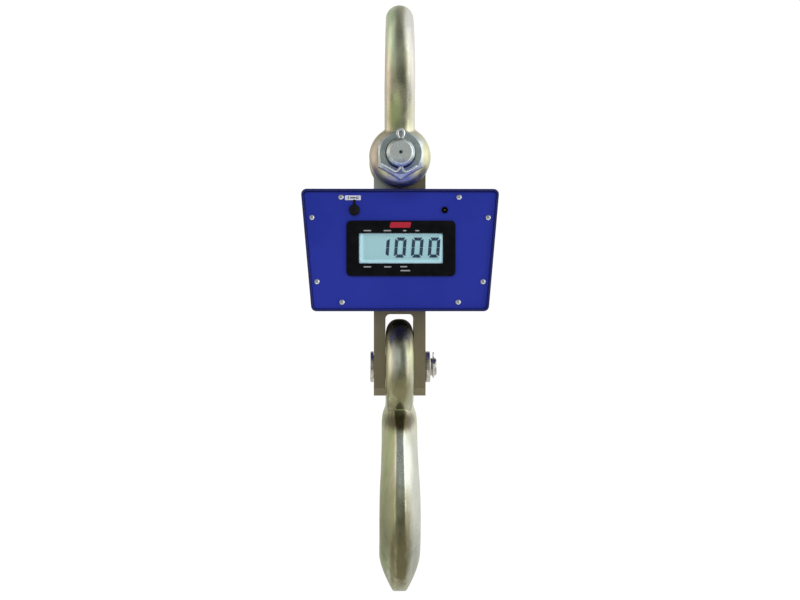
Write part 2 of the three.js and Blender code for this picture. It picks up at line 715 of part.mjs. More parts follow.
function hookPin() {
  const seat = BAR.width / 2 + GAP;
  const profile = [
    [0, -seat - 4.2],
    [PIN.head - 1, -seat - 4.2],
    [PIN.head, -seat - 3.2],
    [PIN.head, -seat],
    [PIN.shank, -seat],
    [PIN.shank, seat + 0.2],
    [PIN.stub, seat + 0.2],
    [PIN.stub, PIN.end - 1.5],
    [PIN.stub - 1.5, PIN.end],
    [0, PIN.end],
  ];
  const pin = turned(profile, X, [0, 0, HOOK_AXIS_Z], 32);
  return cut(pin, rod(2.4, -30, 30, Z, [44.4, 0, HOOK_AXIS_Z], 16));
}

function hookPinWasher() {
  const seat = BAR.width / 2 + GAP + 0.5;
  const [inner, outer] = [PIN.stub + GAP, PIN.head];
  const profile = [
    [inner, seat],
    [outer - 0.8, seat],
    [outer, seat + 0.8],
    [outer, seat + 5],
    [outer - 0.8, seat + 5.8],
    [inner, seat + 5.8],
    [inner, seat],
  ];
  return turned(profile, X, [0, 0, HOOK_AXIS_Z], 32);
}

function hookPinSplitPin() {
  const outline = [
    [-15, 4],
    [-13.4, -5],
    [-8, -12.6],
    [-1.25, -12.8],
    [-1.25, 0],
    [-1.25, 11.6],
    [-3, 13.6],
    [-2.2, 17],
    [0, 18.2],
    [2.2, 17],
    [3, 13.6],
    [1.25, 11.6],
    [1.25, 0],
    [1.25, -12.8],
    [8, -12.6],
    [13.4, -5],
    [15, 4],
  ];
  return splitPin(outline, 0.95, 38, (a, b) => [44.4, a, HOOK_AXIS_Z + b]);
}

addNode("hook_pin", "machined_steel", hookPin());
addNode("hook_pin_washer", "machined_steel", hookPinWasher());
addNode("hook_pin_split_pin", "steel", hookPinSplitPin());

// ---------------------------------------------------------------- hook

// Stations along the hook from the neck to the tip, relative to the pin axis:
// inner edge [y, z], outer edge [y, z], half width, half width of the outer flat.
const HOOK_STATIONS = [
  [[25, -50], [-30, -50], 16.6, 9],
  [[23, -59], [-42, -55], 22, 8],
  [[19, -70], [-51, -66], 23.2, 6.4],
  [[10, -88], [-62, -85], 23.4, 5.2],
  [[-3, -110], [-74, -108], 23.8, 5.4],
  [[-18, -133], [-85, -133], 24.8, 5.8],
  [[-32, -160], [-94.5, -161], 26.2, 6.2],
  [[-40, -190], [-99, -192], 26.6, 6.3],
  [[-34.6, -212], [-86.5, -242.5], 26.6, 7],
  [[-20, -226.6], [-50, -279], 26.6, 7.8],
  [[0, -232], [0, -292], 26.6, 8.5],
  [[20, -226.6], [47, -274.5], 26.4, 8.6],
  [[34.6, -212], [72.5, -234], 25, 8.6],
  [[40, -192], [78, -192], 21.5, 8.2],
  [[42, -174], [76, -166], 17, 7.6],
  [[47, -153], [70, -145], 12, 6.6],
  [[54, -140], [64, -136.5], 6.5, 4],
];

// Half of the hook's section: share of the depth from the inner edge, and share of the half width.
const CROWN = [[0, 0.35], [0.035, 0.7], [0.11, 0.93], [0.2, 1]];
const FLANK = [0.34, 0.48, 0.62, 0.76, 0.9, 1];

function hookSection({ inner, outer, halfWidth, flat }) {
  const flank = FLANK.map((depth) => {
    const share = Math.pow((depth - 0.2) / 0.8, 1.6);
    return [depth, 1 - share + (share * flat) / halfWidth];
  });
  const half = [...CROWN, ...flank].map(([depth, width]) => [depth, width * halfWidth]);
  const at = ([depth, x]) => {
    const y = THREE.MathUtils.lerp(inner.x, outer.x, depth);
    const z = THREE.MathUtils.lerp(inner.y, outer.y, depth);
    return new THREE.Vector3(x, y, z);
  };
  const right = half.map(at);
  const left = half.map(([depth, x]) => at([depth, -x])).reverse();
  return [...right, ...left];
}

function hookBody(sections) {
  const curve = (pick) => new THREE.CatmullRomCurve3(HOOK_STATIONS.map(pick), false, "centripetal");
  const inner = curve(([a]) => new THREE.Vector3(a[0], a[1], 0));
  const outer = curve(([, b]) => new THREE.Vector3(b[0], b[1], 0));
  const widths = curve(([, , width, flat], i) => new THREE.Vector3(width, flat, 20 * i));
  const loft = [];
  for (let s = 0; s <= sections; s++) {
    const t = s / sections;
    const size = widths.getPoint(t);
    loft.push(
      hookSection({ inner: inner.getPoint(t), outer: outer.getPoint(t), halfWidth: size.x, flat: size.y }),
    );
  }
  return lofted(loft).translate(0, 0, HOOK_AXIS_Z);
}

// The eye: a ring of oval section about the pin.
function hookEye() {
  const middle = (EYE.hole + EYE.outer) / 2;
  const [deep, wide] = [(EYE.outer - EYE.hole) / 2, EYE.width / 2];
  const profile = [];
  for (let k = 0; k <= 16; k++) {
    const angle = (2 * Math.PI * (k % 16)) / 16;
    const bulge = (v) => Math.sign(v) * Math.pow(Math.abs(v), 0.8);
    profile.push([middle + deep * bulge(Math.cos(angle)), wide * bulge(Math.sin(angle))]);
  }
  return turned(profile, X, [0, 0, HOOK_AXIS_Z + EYE.offset], 40);
}

function hook() {
  const boss = rod(8, -6, 6, X, [0, LATCH.y, HOOK_AXIS_Z + LATCH.z], 24);
  const body = join(hookBody(34), hookEye(), boss);
  const saddleLand = box([-9, 9], [-8, 8], [-233, -210]).translate(0, 0, HOOK_AXIS_Z);
  return cut(body, saddleLand, rod(3.2, -30, 30, X, [0, LATCH.y, HOOK_AXIS_Z + LATCH.z], 16));
}

// The safety latch: folded sheet with two ears on the rivet and a tongue that closes the throat.
// Drawn along +Y from the rivet, then turned to its closed position.
function hookLatch() {
  const { halfWidth, sheet, length } = LATCH;
  const ear = rounded([[-6.4, -6.4], [8, -6.4], [20, -1], [30, 5.6], [30, 8], [-6.4, 8]], [6, 5, 6, 1, 1, 6]);
  const ears = [-1, 1].map((side) => {
    const span = [side * (halfWidth - sheet), side * halfWidth].sort((a, b) => a - b);
    return plateYZ(ear, span);
  });
  const web = box([-halfWidth, halfWidth], [10, 34], [8 - sheet, 8]);
  const tongueShape = rounded([[33, 8 - sheet], [length, -1.4], [length, 1], [33, 8]], 0);
  const tongue = plateYZ(tongueShape, [-halfWidth + 1, halfWidth - 1]);
  const eye = rod(3.2, -30, 30, X, [0, 0, 0], 16);
  const latch = cut(join(...ears, web, tongue), eye);
  return latch
    .rotateX(THREE.MathUtils.degToRad(LATCH.angle))
    .translate(0, LATCH.y, HOOK_AXIS_Z + LATCH.z);
}

// The latch's rivet, headed at both ends.
function latchRivet() {
  const seat = LATCH.halfWidth + GAP;
  const profile = [
    [0, -seat - 2],
    [3.5, -seat - 1.6],
    [4.8, -seat],
    [2.9, -seat],
    [2.9, seat],
    [4.8, seat],
    [3.5, seat + 1.6],
    [0, seat + 2],
  ];
  return turned(profile, X, [0, LATCH.y, HOOK_AXIS_Z + LATCH.z], 20);
}

// The latch's torsion spring: three turns round the rivet with one leg on the neck, one on the latch.
function latchSpring() {
  const points = [];
  const coil = 4.6;
  const turns = 3;
  const place = (radius, degrees, x) => {
    const angle = THREE.MathUtils.degToRad(degrees);
    return [x, LATCH.y + radius * Math.cos(angle), HOOK_AXIS_Z + LATCH.z + radius * Math.sin(angle)];
  };
  const first = 20;
  for (let k = 0; k <= turns * 8; k++) {
    points.push(place(coil, first + 45 * k, 7.4 + (k * 4) / (turns * 8)));
  }
  points.unshift(place(14.5, first - 60, 7.2));
  points.push(place(10, first + 58, 11.5));
  return wire(points, 0.6, 48, 5);
}

addNode("hook", "yellow_zinc", hook());
addNode("hook_latch", "blue_zinc", hookLatch());
addNode("latch_rivet", "steel", latchRivet());
addNode("latch_spring", "steel", latchSpring());

export default scale;
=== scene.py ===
"""Visual model of the crane scale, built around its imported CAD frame.

Objects are in metres, in the CAD's frame. Shapes are drawn in millimetres in that frame.
"""

import json
import math

import bmesh
import bpy
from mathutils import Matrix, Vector


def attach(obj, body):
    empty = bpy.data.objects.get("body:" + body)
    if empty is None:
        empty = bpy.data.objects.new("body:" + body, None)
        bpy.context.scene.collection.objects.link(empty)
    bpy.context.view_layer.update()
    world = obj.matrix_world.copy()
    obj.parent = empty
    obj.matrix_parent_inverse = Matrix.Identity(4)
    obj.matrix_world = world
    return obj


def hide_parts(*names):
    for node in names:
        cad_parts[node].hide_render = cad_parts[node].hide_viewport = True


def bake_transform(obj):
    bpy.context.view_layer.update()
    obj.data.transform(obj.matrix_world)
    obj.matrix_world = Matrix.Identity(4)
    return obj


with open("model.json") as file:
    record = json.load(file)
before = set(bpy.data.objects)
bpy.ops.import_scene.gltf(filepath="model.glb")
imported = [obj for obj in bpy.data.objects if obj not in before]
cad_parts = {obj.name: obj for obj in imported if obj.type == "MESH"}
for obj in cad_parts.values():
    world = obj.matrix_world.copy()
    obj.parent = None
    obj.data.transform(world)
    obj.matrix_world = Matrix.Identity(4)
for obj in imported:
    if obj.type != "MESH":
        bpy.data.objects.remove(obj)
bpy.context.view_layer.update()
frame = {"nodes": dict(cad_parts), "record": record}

MM = 0.001

# ------------------------------------------------------------------ driving dimensions (mm)

BOLT_Z = -165
BOLT_HOLE = 19.3  # radius in the shackle's eyes and in the bar
BOLT_SPLIT_PIN_Y = -95.4
PIN_Z = -436
PIN_HOLE = 15.8  # radius in the fork
PIN_SPLIT_PIN_X = 44.4
HOUSING = {"top": -207, "bottom": -363, "top_half": 126.6, "bottom_half": 112.8, "rim": 58, "wall": 3}
DISPLAY = {"x": 1, "z": -282.7, "width": 139, "height": 70.6, "window": (106.6, 38.4)}
PANEL_ROW_Z = -233.8
SWITCH_X = -58.3
JACK_X = 56.9
LEVER = {"pivot_y": -51, "tilt": 26, "length": 23.5}
LATCH = {"angle": -59.6, "length": 68, "half_width": 14.6, "sheet": 2.4}
RIVET_AT = (0, 10.2, PIN_Z - 99)
RIVET_HOLE = 3.2
COVER_SCREWS = [
    (-75.2, -217.5),
    (75.2, -217.5),
    (112.5, -243.5),
    (106, -325.3),
    (74, -351.5),
    (-74, -351.5),
    (-106, -325.3),
    (-112.5, -243.5),
]

# The studio's brightness by bearing (degrees, 0 towards the camera, 90 to the right) and by height.
ROUND_THE_SCALE = [
    (-180, (0.85, 0.84, 0.82)),
    (-140, (0.53, 0.56, 0.46)),
    (-98, (1.3, 1.14, 1.02)),
    (-60, (0.5, 0.49, 0.45)),
    (-14, (0.29, 0.32, 0.30)),
    (26, (0.33, 0.35, 0.34)),
    (50, (1.5, 1.5, 1.48)),
    (100, (1.8, 1.78, 1.75)),
    (130, (1.3, 1.3, 1.26)),
    (160, (1.1, 1.09, 1.06)),
    (180, (0.85, 0.84, 0.82)),
]
FROM_FLOOR_TO_CEILING = [
    (-1, 0.1),
    (-0.4, 0.25),
    (-0.08, 0.9),
    (0.2, 1.0),
    (0.5, 0.75),
    (0.85, 0.4),
    (1, 0.25),
]

X_AXIS, Y_AXIS, Z_AXIS = Vector((1, 0, 0)), Vector((0, 1, 0)), Vector((0, 0, 1))

# ------------------------------------------------------------------ materials


class Nodes:
    """A node tree, and short calls that add nodes to it. Most of them return the new node's output."""

    def __init__(self, tree):
        self.tree = tree

    def node(self, kind, **settings):
        made = self.tree.nodes.new(kind)
        for key, value in settings.items():
            setattr(made, key, value)
        return made

    def link(self, output, target):
        self.tree.links.new(output, target)

    def feed(self, target, value):
        """Links an output to an input, or sets the input to a number, a vector or a colour."""
        if isinstance(value, bpy.types.NodeSocket):
            self.link(value, target)
        elif target.type == "RGBA":
            target.default_value = (*value, 1)
        else:
            target.default_value = value

    def calculate(self, operation, *values, kind="ShaderNodeMath", output="Value"):
        step = self.node(kind, operation=operation)
        for target, value in zip(step.inputs, values):
            self.feed(target, value)
        return step.outputs[output]

    def split(self, vector):
        """A vector's three outputs, by the names X, Y and Z."""
        parts = self.node("ShaderNodeSeparateXYZ")
        self.link(vector, parts.inputs["Vector"])
        return parts.outputs

    def ramp(self, value, stops, interpolation="LINEAR"):
        """A colour ramp over a value: stops are (position, colour)."""
        ramp = self.node("ShaderNodeValToRGB")
        ramp.color_ramp.interpolation = interpolation
        elements = ramp.color_ramp.elements
        while len(elements) < len(stops):
            elements.new(0.5)
        for element, (position, color) in zip(elements, stops):
            element.position = position
            element.color = (*color, 1)
        self.link(value, ramp.inputs["Fac"])
        return ramp.outputs["Color"]

    def between(self, value, low, high, start=0.0, end=1.0):
        """Maps a pattern's start..end onto low..high."""
        spread = self.node("ShaderNodeMapRange")
        for key, number in (("From Min", start), ("From Max", end), ("To Min", low), ("To Max", high)):
            spread.inputs[key].default_value = number
        self.link(value, spread.inputs["Value"])
        return spread.outputs["Result"]

    def mix(self, factor, first, second, blend_type="MIX"):
        mix = self.node("ShaderNodeMix", data_type="RGBA", blend_type=blend_type)
        for key, value in (("Factor", factor), ("A", first), ("B", second)):
            self.feed(mix.inputs[key], value)
        return mix.outputs["Result"]


class Finish(Nodes):
    """A node material: a Principled shader and short calls that feed it procedural patterns."""

    def __init__(self, name, color, metallic=0.0, roughness=0.5, specular=0.5, alpha=1.0):
        self.material = bpy.data.materials.new(name)
        self.material.use_nodes = True
        super().__init__(self.material.node_tree)
        self.shader = self.tree.nodes["Principled BSDF"]
        self.roughness = roughness
        self.shader.inputs["Base Color"].default_value = (*color, 1)
        self.shader.inputs["Metallic"].default_value = metallic
        self.shader.inputs["Roughness"].default_value = roughness
        self.shader.inputs["Specular IOR Level"].default_value = specular
        self.shader.inputs["Alpha"].default_value = alpha
        self.place = self.node("ShaderNodeTexCoord").outputs["Object"]

    def stretched(self, scale):
        """Object coordinates scaled per axis, for patterns that run along one direction."""
        mapping = self.node("ShaderNodeMapping")
        mapping.inputs["Scale"].default_value = scale
        self.link(self.place, mapping.inputs["Vector"])
        return mapping.outputs["Vector"]

    def noise(self, scale, detail=4.0, roughness=0.55, distortion=0.0, place=None):
        noise = self.node("ShaderNodeTexNoise")
        settings = {"Scale": scale, "Detail": detail, "Roughness": roughness, "Distortion": distortion}
        for key, value in settings.items():
            noise.inputs[key].default_value = value
        self.link(place or self.place, noise.inputs["Vector"])
        return noise.outputs["Fac"]

    def clouded(self, pattern, first, second, start=0.35, end=0.7, most=1.0):
        """The first colour, which takes up to a share of the second as a pattern rises from start to end."""
        return self.mix(self.between(pattern, 0.0, most, start, end), first, second)

    def spot(self, centre, reach, ragged):
        """1 within about 0.7 of the reach round a place, 0 beyond it, with a ragged border."""
        offset = self.calculate("SUBTRACT", self.place, centre, kind="ShaderNodeVectorMath", output="Vector")
        share = self.calculate("DIVIDE", offset, reach, kind="ShaderNodeVectorMath", output="Vector")
        distance = self.calculate("LENGTH", share, kind="ShaderNodeVectorMath")
        border = self.calculate("MULTIPLY_ADD", ragged, 0.9, distance)
        return self.between(border, 1.0, 0.0, 0.9, 1.6)

    def edges(self, start=0.52, end=0.62):
        """About 1 along convex edges and 0 elsewhere."""
        pointed = self.node("ShaderNodeNewGeometry").outputs["Pointiness"]
        return self.between(pointed, 0.0, 1.0, start, end)

    def paint(self, color):
        self.link(color, self.shader.inputs["Base Color"])

    def gloss(self, value, spread):
        """Roughness that follows a pattern, spread round the finish's own value."""
        result = self.between(value, self.roughness - spread, self.roughness + spread, 0.35, 0.65)
        self.link(result, self.shader.inputs["Roughness"])

    def bump(self, height, depth, strength=1.0):
        """Relief of a given depth in metres. Several calls stack."""
        bump = self.node("ShaderNodeBump")
        bump.inputs["Strength"].default_value = strength
        bump.inputs["Distance"].default_value = depth
        self.link(height, bump.inputs["Height"])
        normal = self.shader.inputs["Normal"]
        if normal.is_linked:
            self.link(normal.links[0].from_socket, bump.inputs["Normal"])
        self.link(bump.outputs["Normal"], normal)


def yellow_zinc(name, painted_light_spots):
    """Forged steel, zinc plated, with the green and pink cast of a yellow passivation.

    The spots, each (centre, reach, tint) in metres, are painted light and shade over the plating: painted
    highlights, painted shade and painted reflections.
    """
    f = Finish(name, (0.54, 0.55, 0.36), metallic=0.93, roughness=0.33)
    cast = f.ramp(
        f.noise(38, 5, 0.6, 0.6, place=f.stretched((1, 1, 0.3))),
        [
            (0.30, (0.40, 0.50, 0.24)),
            (0.43, (0.52, 0.555, 0.33)),
            (0.55, (0.58, 0.55, 0.38)),
            (0.70, (0.60, 0.62, 0.51)),
        ],
    )
    speckle = f.noise(330, 4, 0.7)
    cast = f.clouded(speckle, cast, (0.38, 0.40, 0.34), 0.54, 0.75, 0.5)
    stains = f.noise(90, 6, 0.7, place=f.stretched((1, 1, 0.5)))
    cast = f.clouded(stains, cast, (0.27, 0.26, 0.15), 0.54, 0.78, 0.5)
    ragged = f.noise(160, 5, 0.7, place=f.stretched((1, 1, 0.25)))
    # Each spot lays painted light or painted shade over the cast.
    for centre, reach, tint in painted_light_spots:
        cast = f.mix(f.spot(centre, reach, ragged), cast, tint)
    f.paint(f.mix(f.edges(0.54, 0.68), cast, (0.72, 0.71, 0.60)))
    f.gloss(f.noise(45, 5, 0.65), 0.11)
    f.bump(f.noise(300, 4, 0.6), 0.00008)
    f.bump(f.noise(55, 3, 0.5), 0.0003, 0.6)
    return f.material


def bow_zinc():
    """Both legs alike, with painted light and shade in bands along the wire: a pinkish painted reflection
    along one edge, a painted highlight along the other, greener and darker bands between, and a painted blue
    reflection of the housing under each eye.
    """
    # Painted light and shade on one leg, mirrored onto the other.
    one_leg_painted_light = [
        ((-0.020, -0.07, -0.06), (0.008, 0.05, 0.14), (0.76, 0.68, 0.56)),
        ((0.010, -0.07, 0.004), (0.007, 0.06, 0.043), (1.0, 1.0, 0.94)),
        ((-0.010, -0.07, -0.002), (0.008, 0.06, 0.062), (0.82, 1.0, 0.74)),
        ((-0.001, -0.08, -0.010), (0.006, 0.06, 0.060), (0.58, 0.58, 0.44)),
        ((0.006, -0.08, -0.086), (0.012, 0.04, 0.054), (0.26, 0.255, 0.175)),
        ((-0.007, -0.075, -0.114), (0.010, 0.03, 0.030), (0.50, 0.57, 0.28)),
        ((0.022, -0.07, -0.02), (0.014, 0.06, 0.14), (0.60, 0.58, 0.55)),
        ((-0.034, -0.055, -0.165), (0.012, 0.03, 0.04), (0.60, 0.54, 0.46)),
        ((0.004, -0.08, -0.197), (0.030, 0.04, 0.013), (0.16, 0.19, 0.52)),
    ]
    painted_light_spots = []
    for (x, y, z), reach, tint in one_leg_painted_light:
        painted_light_spots += [((x, y, z), reach, tint), ((-x, -y, z), reach, tint)]
    return yellow_zinc("yellow_zinc_bow", painted_light_spots)


def hook_zinc():
    """Painted shade on the ring's top and in the crease under it, painted shade darker towards the hook's
    bend, and painted highlights on the ring and beside the outer flat.
    """
    return yellow_zinc(
        "yellow_zinc_hook",
        # Painted highlights and painted shade, each (centre, reach, tint).
        [
            ((-0.005, -0.066, -0.424), (0.012, 0.02, 0.026), (0.98, 1.0, 0.86)),
            ((0.011, -0.06, -0.440), (0.006, 0.03, 0.020), (0.42, 0.41, 0.32)),
            ((0.0045, -0.066, -0.422), (0.005, 0.02, 0.026), (0.30, 0.31, 0.25)),
            ((0.001, -0.066, -0.468), (0.018, 0.03, 0.040), (0.23, 0.215, 0.115)),
            ((0.019, -0.06, -0.60), (0.016, 0.07, 0.16), (0.48, 0.49, 0.43)),
            ((0, -0.075, -0.55), (0.008, 0.04, 0.06), (0.86, 0.90, 0.80)),
            ((0.009, -0.07, -0.555), (0.008, 0.05, 0.042), (0.76, 0.79, 0.72)),
            ((-0.010, -0.055, -0.486), (0.010, 0.04, 0.011), (0.24, 0.23, 0.13)),
            ((0, -0.01, -0.369), (0.04, 0.07, 0.028), (0.035, 0.035, 0.03)),
            ((0, -0.05, -0.392), (0.009, 0.03, 0.018), (0.12, 0.12, 0.10)),
            ((0, -0.052, -0.504), (0.050, 0.050, 0.014), (0.17, 0.14, 0.065)),
            ((0.001, -0.055, -0.503), (0.026, 0.06, 0.011), (0.085, 0.07, 0.03)),
            ((-0.014, -0.07, -0.625), (0.016, 0.08, 0.065), (0.32, 0.34, 0.21)),
            ((0.005, -0.08, -0.640), (0.011, 0.06, 0.060), (0.28, 0.26, 0.17)),
            ((0.001, -0.08, -0.675), (0.012, 0.06, 0.075), (0.14, 0.13, 0.065)),
            ((-0.010, -0.08, -0.69), (0.004, 0.06, 0.05), (0.20, 0.17, 0.08)),
            ((-0.001, 0, -0.745), (0.018, 0.12, 0.036), (0.17, 0.16, 0.095)),
        ],
    )


def blue_zinc():
    """Bright zinc plate with a bluish cast, frosted on the bolt's sawn end, with painted shade in the centre
    drill and a painted blue reflection of the housing on the nut's lower side.
    """
    f = Finish("blue_zinc_plate", (0.50, 0.56, 0.58), metallic=0.95, roughness=0.3)
    cast = f.ramp(
        f.noise(90, 4, 0.6, 0.4),
        [(0.32, (0.34, 0.41, 0.43)), (0.5, (0.50, 0.58, 0.59)), (0.68, (0.68, 0.72, 0.70))],
    )
    sawn_end = f.between(f.split(f.place)["Y"], 1.0, 0.0, -0.1088, -0.1084)
    cast = f.mix(sawn_end, cast, (0.98, 1.0, 1.0))
    # Painted shade in the centre drill's dimple.
    centre_drill_shade = f.spot((0, -0.109, -0.165), (0.0026, 0.004, 0.0026), f.noise(900, 2))
    cast = f.mix(centre_drill_shade, cast, (0.03, 0.035, 0.04))
    # Painted reflection: the blue housing seen in the nut's lower side.
    housing_reflection_blue = f.spot((0.004, -0.100, -0.187), (0.030, 0.03, 0.013), f.noise(260, 4))
    cast = f.mix(housing_reflection_blue, cast, (0.20, 0.25, 0.62))
    f.paint(f.mix(f.edges(0.53, 0.64), cast, (0.74, 0.79, 0.82)))
    f.gloss(f.noise(150, 5, 0.6), 0.09)
    f.bump(f.noise(500, 3, 0.5), 0.00004)
    return f.material


def pressed_zinc():
    """The duller zinc plate of a small pressing."""
    f = Finish("pressed_zinc", (0.25, 0.27, 0.28), metallic=0.8, roughness=0.42)
    cast = f.clouded(f.noise(70, 5, 0.6), (0.20, 0.22, 0.23), (0.30, 0.32, 0.33), 0.35, 0.65)
    f.paint(f.mix(f.edges(), cast, (0.42, 0.44, 0.45)))
    f.gloss(f.noise(220, 4), 0.08)
    f.bump(f.noise(600, 3), 0.00003)
    return f.material


def machined_steel():
    """Satin steel with fine vertical grinding marks and a brown-grey cast, with painted light beside the
    bolt's eye.
    """
    f = Finish("machined_steel", (0.42, 0.37, 0.27), metallic=0.85, roughness=0.5)
    marks = f.noise(1.0, 3, 0.6, place=f.stretched((900, 900, 14)))
    cast = f.clouded(f.noise(14, 4, 0.6), (0.34, 0.29, 0.195), (0.29, 0.25, 0.165), 0.35, 0.65)
    cast = f.clouded(marks, cast, (0.46, 0.40, 0.28), 0.5, 0.75, 0.3)
    # Painted light: a lighter patch on the bar beside the bolt's eye.
    painted_light_by_the_eye = f.spot((-0.027, -0.035, -0.200), (0.022, 0.06, 0.03), f.noise(120, 3))
    f.paint(f.mix(painted_light_by_the_eye, cast, (0.82, 0.86, 0.74)))
    f.gloss(marks, 0.1)
    f.bump(marks, 0.00003, 0.5)
    return f.material


def turned_steel():
    """Turned and oiled: brighter than the bar, with fine rings and dark marks."""
    f = Finish("turned_steel", (0.5, 0.46, 0.38), metallic=0.95, roughness=0.27)
    cast = f.clouded(f.noise(120, 5, 0.65), (0.62, 0.58, 0.50), (0.26, 0.23, 0.20), 0.38, 0.62)
    f.paint(f.mix(f.edges(), cast, (0.7, 0.68, 0.62)))
    f.gloss(f.noise(260, 4), 0.1)
    f.bump(f.noise(1.0, 3, 0.6, place=f.stretched((900, 12, 12))), 0.00004, 0.6)
    return f.material


def blue_paint():
    """Satin cobalt-blue powder coat with its fine orange peel, and painted shade on the front rim."""
    f = Finish("blue_powder_coat", (0.016, 0.028, 0.315), roughness=0.4, specular=0.28)
    coat = f.clouded(f.noise(9, 3, 0.5), (0.0135, 0.026, 0.29), (0.019, 0.031, 0.335), 0.35, 0.65)
    coat = f.clouded(f.noise(1400, 2, 0.5), coat, (0.03, 0.05, 0.40), 0.66, 0.8, 0.3)
    # Painted shade: the front rim is darker.
    rim = f.between(f.split(f.place)["Y"], 1.0, 0.0, -0.0578, -0.0568)
    coat = f.mix(rim, coat, (0.013, 0.017, 0.105))
    f.paint(f.mix(f.edges(0.58, 0.75), coat, (0.04, 0.055, 0.28)))
    f.gloss(f.noise(30, 4, 0.6), 0.05)
    f.bump(f.noise(900, 2, 0.4), 0.00004, 0.6)
    f.bump(f.noise(240, 2, 0.5), 0.00004, 0.5)
    return f.material


def rubber():
    f = Finish("black_rubber", (0.007, 0.007, 0.008), roughness=0.72, specular=0.18)
    f.paint(f.clouded(f.noise(180, 4, 0.6), (0.005, 0.005, 0.006), (0.012, 0.012, 0.013), 0.4))
    f.gloss(f.noise(300, 3), 0.08)
    f.bump(f.noise(1500, 2), 0.00004, 0.8)
    return f.material


def black_plastic():
    f = Finish("black_moulding", (0.003, 0.003, 0.004), roughness=0.3, specular=0.13)
    f.paint(f.clouded(f.noise(90, 3), (0.002, 0.002, 0.003), (0.005, 0.005, 0.006), 0.4))
    f.gloss(f.noise(60, 4), 0.06)
    f.bump(f.noise(2200, 2), 0.00002, 0.6)
    return f.material


def clear_window():
    f = Finish("clear_window", (0.5, 0.55, 0.57), roughness=0.06, alpha=0.035)
    f.gloss(f.noise(70, 3), 0.03)
    f.bump(f.noise(14, 2), 0.00006, 0.3)
    return f.material


def display_glass():
    """The liquid crystal's pale blue-grey ground, and a painted glow that the glass emits along its four
    borders.
    """
    f = Finish("display_glass", (0.35, 0.61, 0.67), roughness=0.32, specular=0.3)
    place = f.split(f.place)
    across = f.between(place["X"], 0.0, 1.0, -0.055, 0.055)
    ground = f.mix(across, (0.35, 0.61, 0.665), (0.34, 0.60, 0.68))
    x, z = DISPLAY["x"] * MM, DISPLAY["z"] * MM
    half_width, half_height = (side / 2 * MM for side in DISPLAY["window"])
    # Painted light: the glass glows along its four borders.
    painted_border_glow = (0, 0, 0)
    for axis, inner, outer in (
        ("X", x - half_width + 0.007, x - half_width),
        ("X", x + half_width - 0.006, x + half_width),
        ("Z", z - half_height + 0.006, z - half_height),
        ("Z", z + half_height - 0.003, z + half_height),
    ):
        painted_border_glow = f.mix(f.between(place[axis], 0.0, 1.0, inner, outer), painted_border_glow, (0.55, 0.88, 1.0))
    f.link(painted_border_glow, f.shader.inputs["Emission Color"])
    f.shader.inputs["Emission Strength"].default_value = 0.5
    f.paint(f.clouded(f.noise(700, 2), ground, (0.38, 0.66, 0.71), 0.4, 0.7, 0.4))
    f.gloss(f.noise(200, 2), 0.05)
    return f.material


def segment_ink():
    f = Finish("segment_ink", (0.001, 0.022, 0.060), roughness=0.6, specular=0.02)
    f.paint(f.clouded(f.noise(900, 2), (0.001, 0.018, 0.052), (0.002, 0.028, 0.072)))
    return f.material


def display_edge():
    """The lighter reflector that shows round the liquid crystal's ground."""
    f = Finish("display_edge", (0.5, 0.78, 0.92), roughness=0.4)
    f.paint(f.clouded(f.noise(160, 2), (0.46, 0.74, 0.90), (0.60, 0.84, 0.94)))
    return f.material


def print_ink(name, color, darker):
    f = Finish(name, color, roughness=0.45)
    f.paint(f.clouded(f.noise(1200, 2), color, darker, 0.4, 0.75))
    f.bump(f.noise(2500, 1), 0.00001, 0.5)
    return f.material


def circuit_board():
    f = Finish("circuit_board", (0.02, 0.12, 0.05), roughness=0.38)
    traces = f.node("ShaderNodeTexVoronoi", feature="DISTANCE_TO_EDGE", distance="MANHATTAN")
    traces.inputs["Scale"].default_value = 260
    f.link(f.place, traces.inputs["Vector"])
    lines = f.between(traces.outputs["Distance"], 1.0, 0.0, 0.03, 0.09)
    f.paint(f.mix(lines, (0.015, 0.10, 0.04), (0.04, 0.2, 0.08)))
    f.gloss(f.noise(200, 3), 0.06)
    f.bump(lines, 0.00004, 0.6)
    return f.material


def bright_steel():
    """Plated sheet and small turned parts."""
    f = Finish("bright_steel", (0.8, 0.83, 0.86), metallic=0.9, roughness=0.26)
    f.paint(f.clouded(f.noise(90, 5, 0.6), (0.88, 0.91, 0.94), (0.68, 0.71, 0.75)))
    f.gloss(f.noise(240, 4), 0.1)
    f.bump(f.noise(800, 3), 0.00003, 0.7)
    return f.material


def battery_case():
    f = Finish("battery_case", (0.06, 0.065, 0.07), roughness=0.55)
    f.paint(f.clouded(f.noise(60, 4), (0.05, 0.054, 0.06), (0.085, 0.09, 0.096)))
    f.gloss(f.noise(220, 3), 0.08)
    f.bump(f.noise(1100, 2), 0.00005, 0.8)
    return f.material


def cable_sheath():
    f = Finish("cable_sheath", (0.03, 0.03, 0.032), roughness=0.5)
    f.paint(f.clouded(f.noise(120, 3), (0.024, 0.024, 0.026), (0.05, 0.05, 0.052)))
    f.gloss(f.noise(300, 3), 0.06)
    f.bump(f.noise(1600, 2), 0.00003, 0.6)
    return f.material


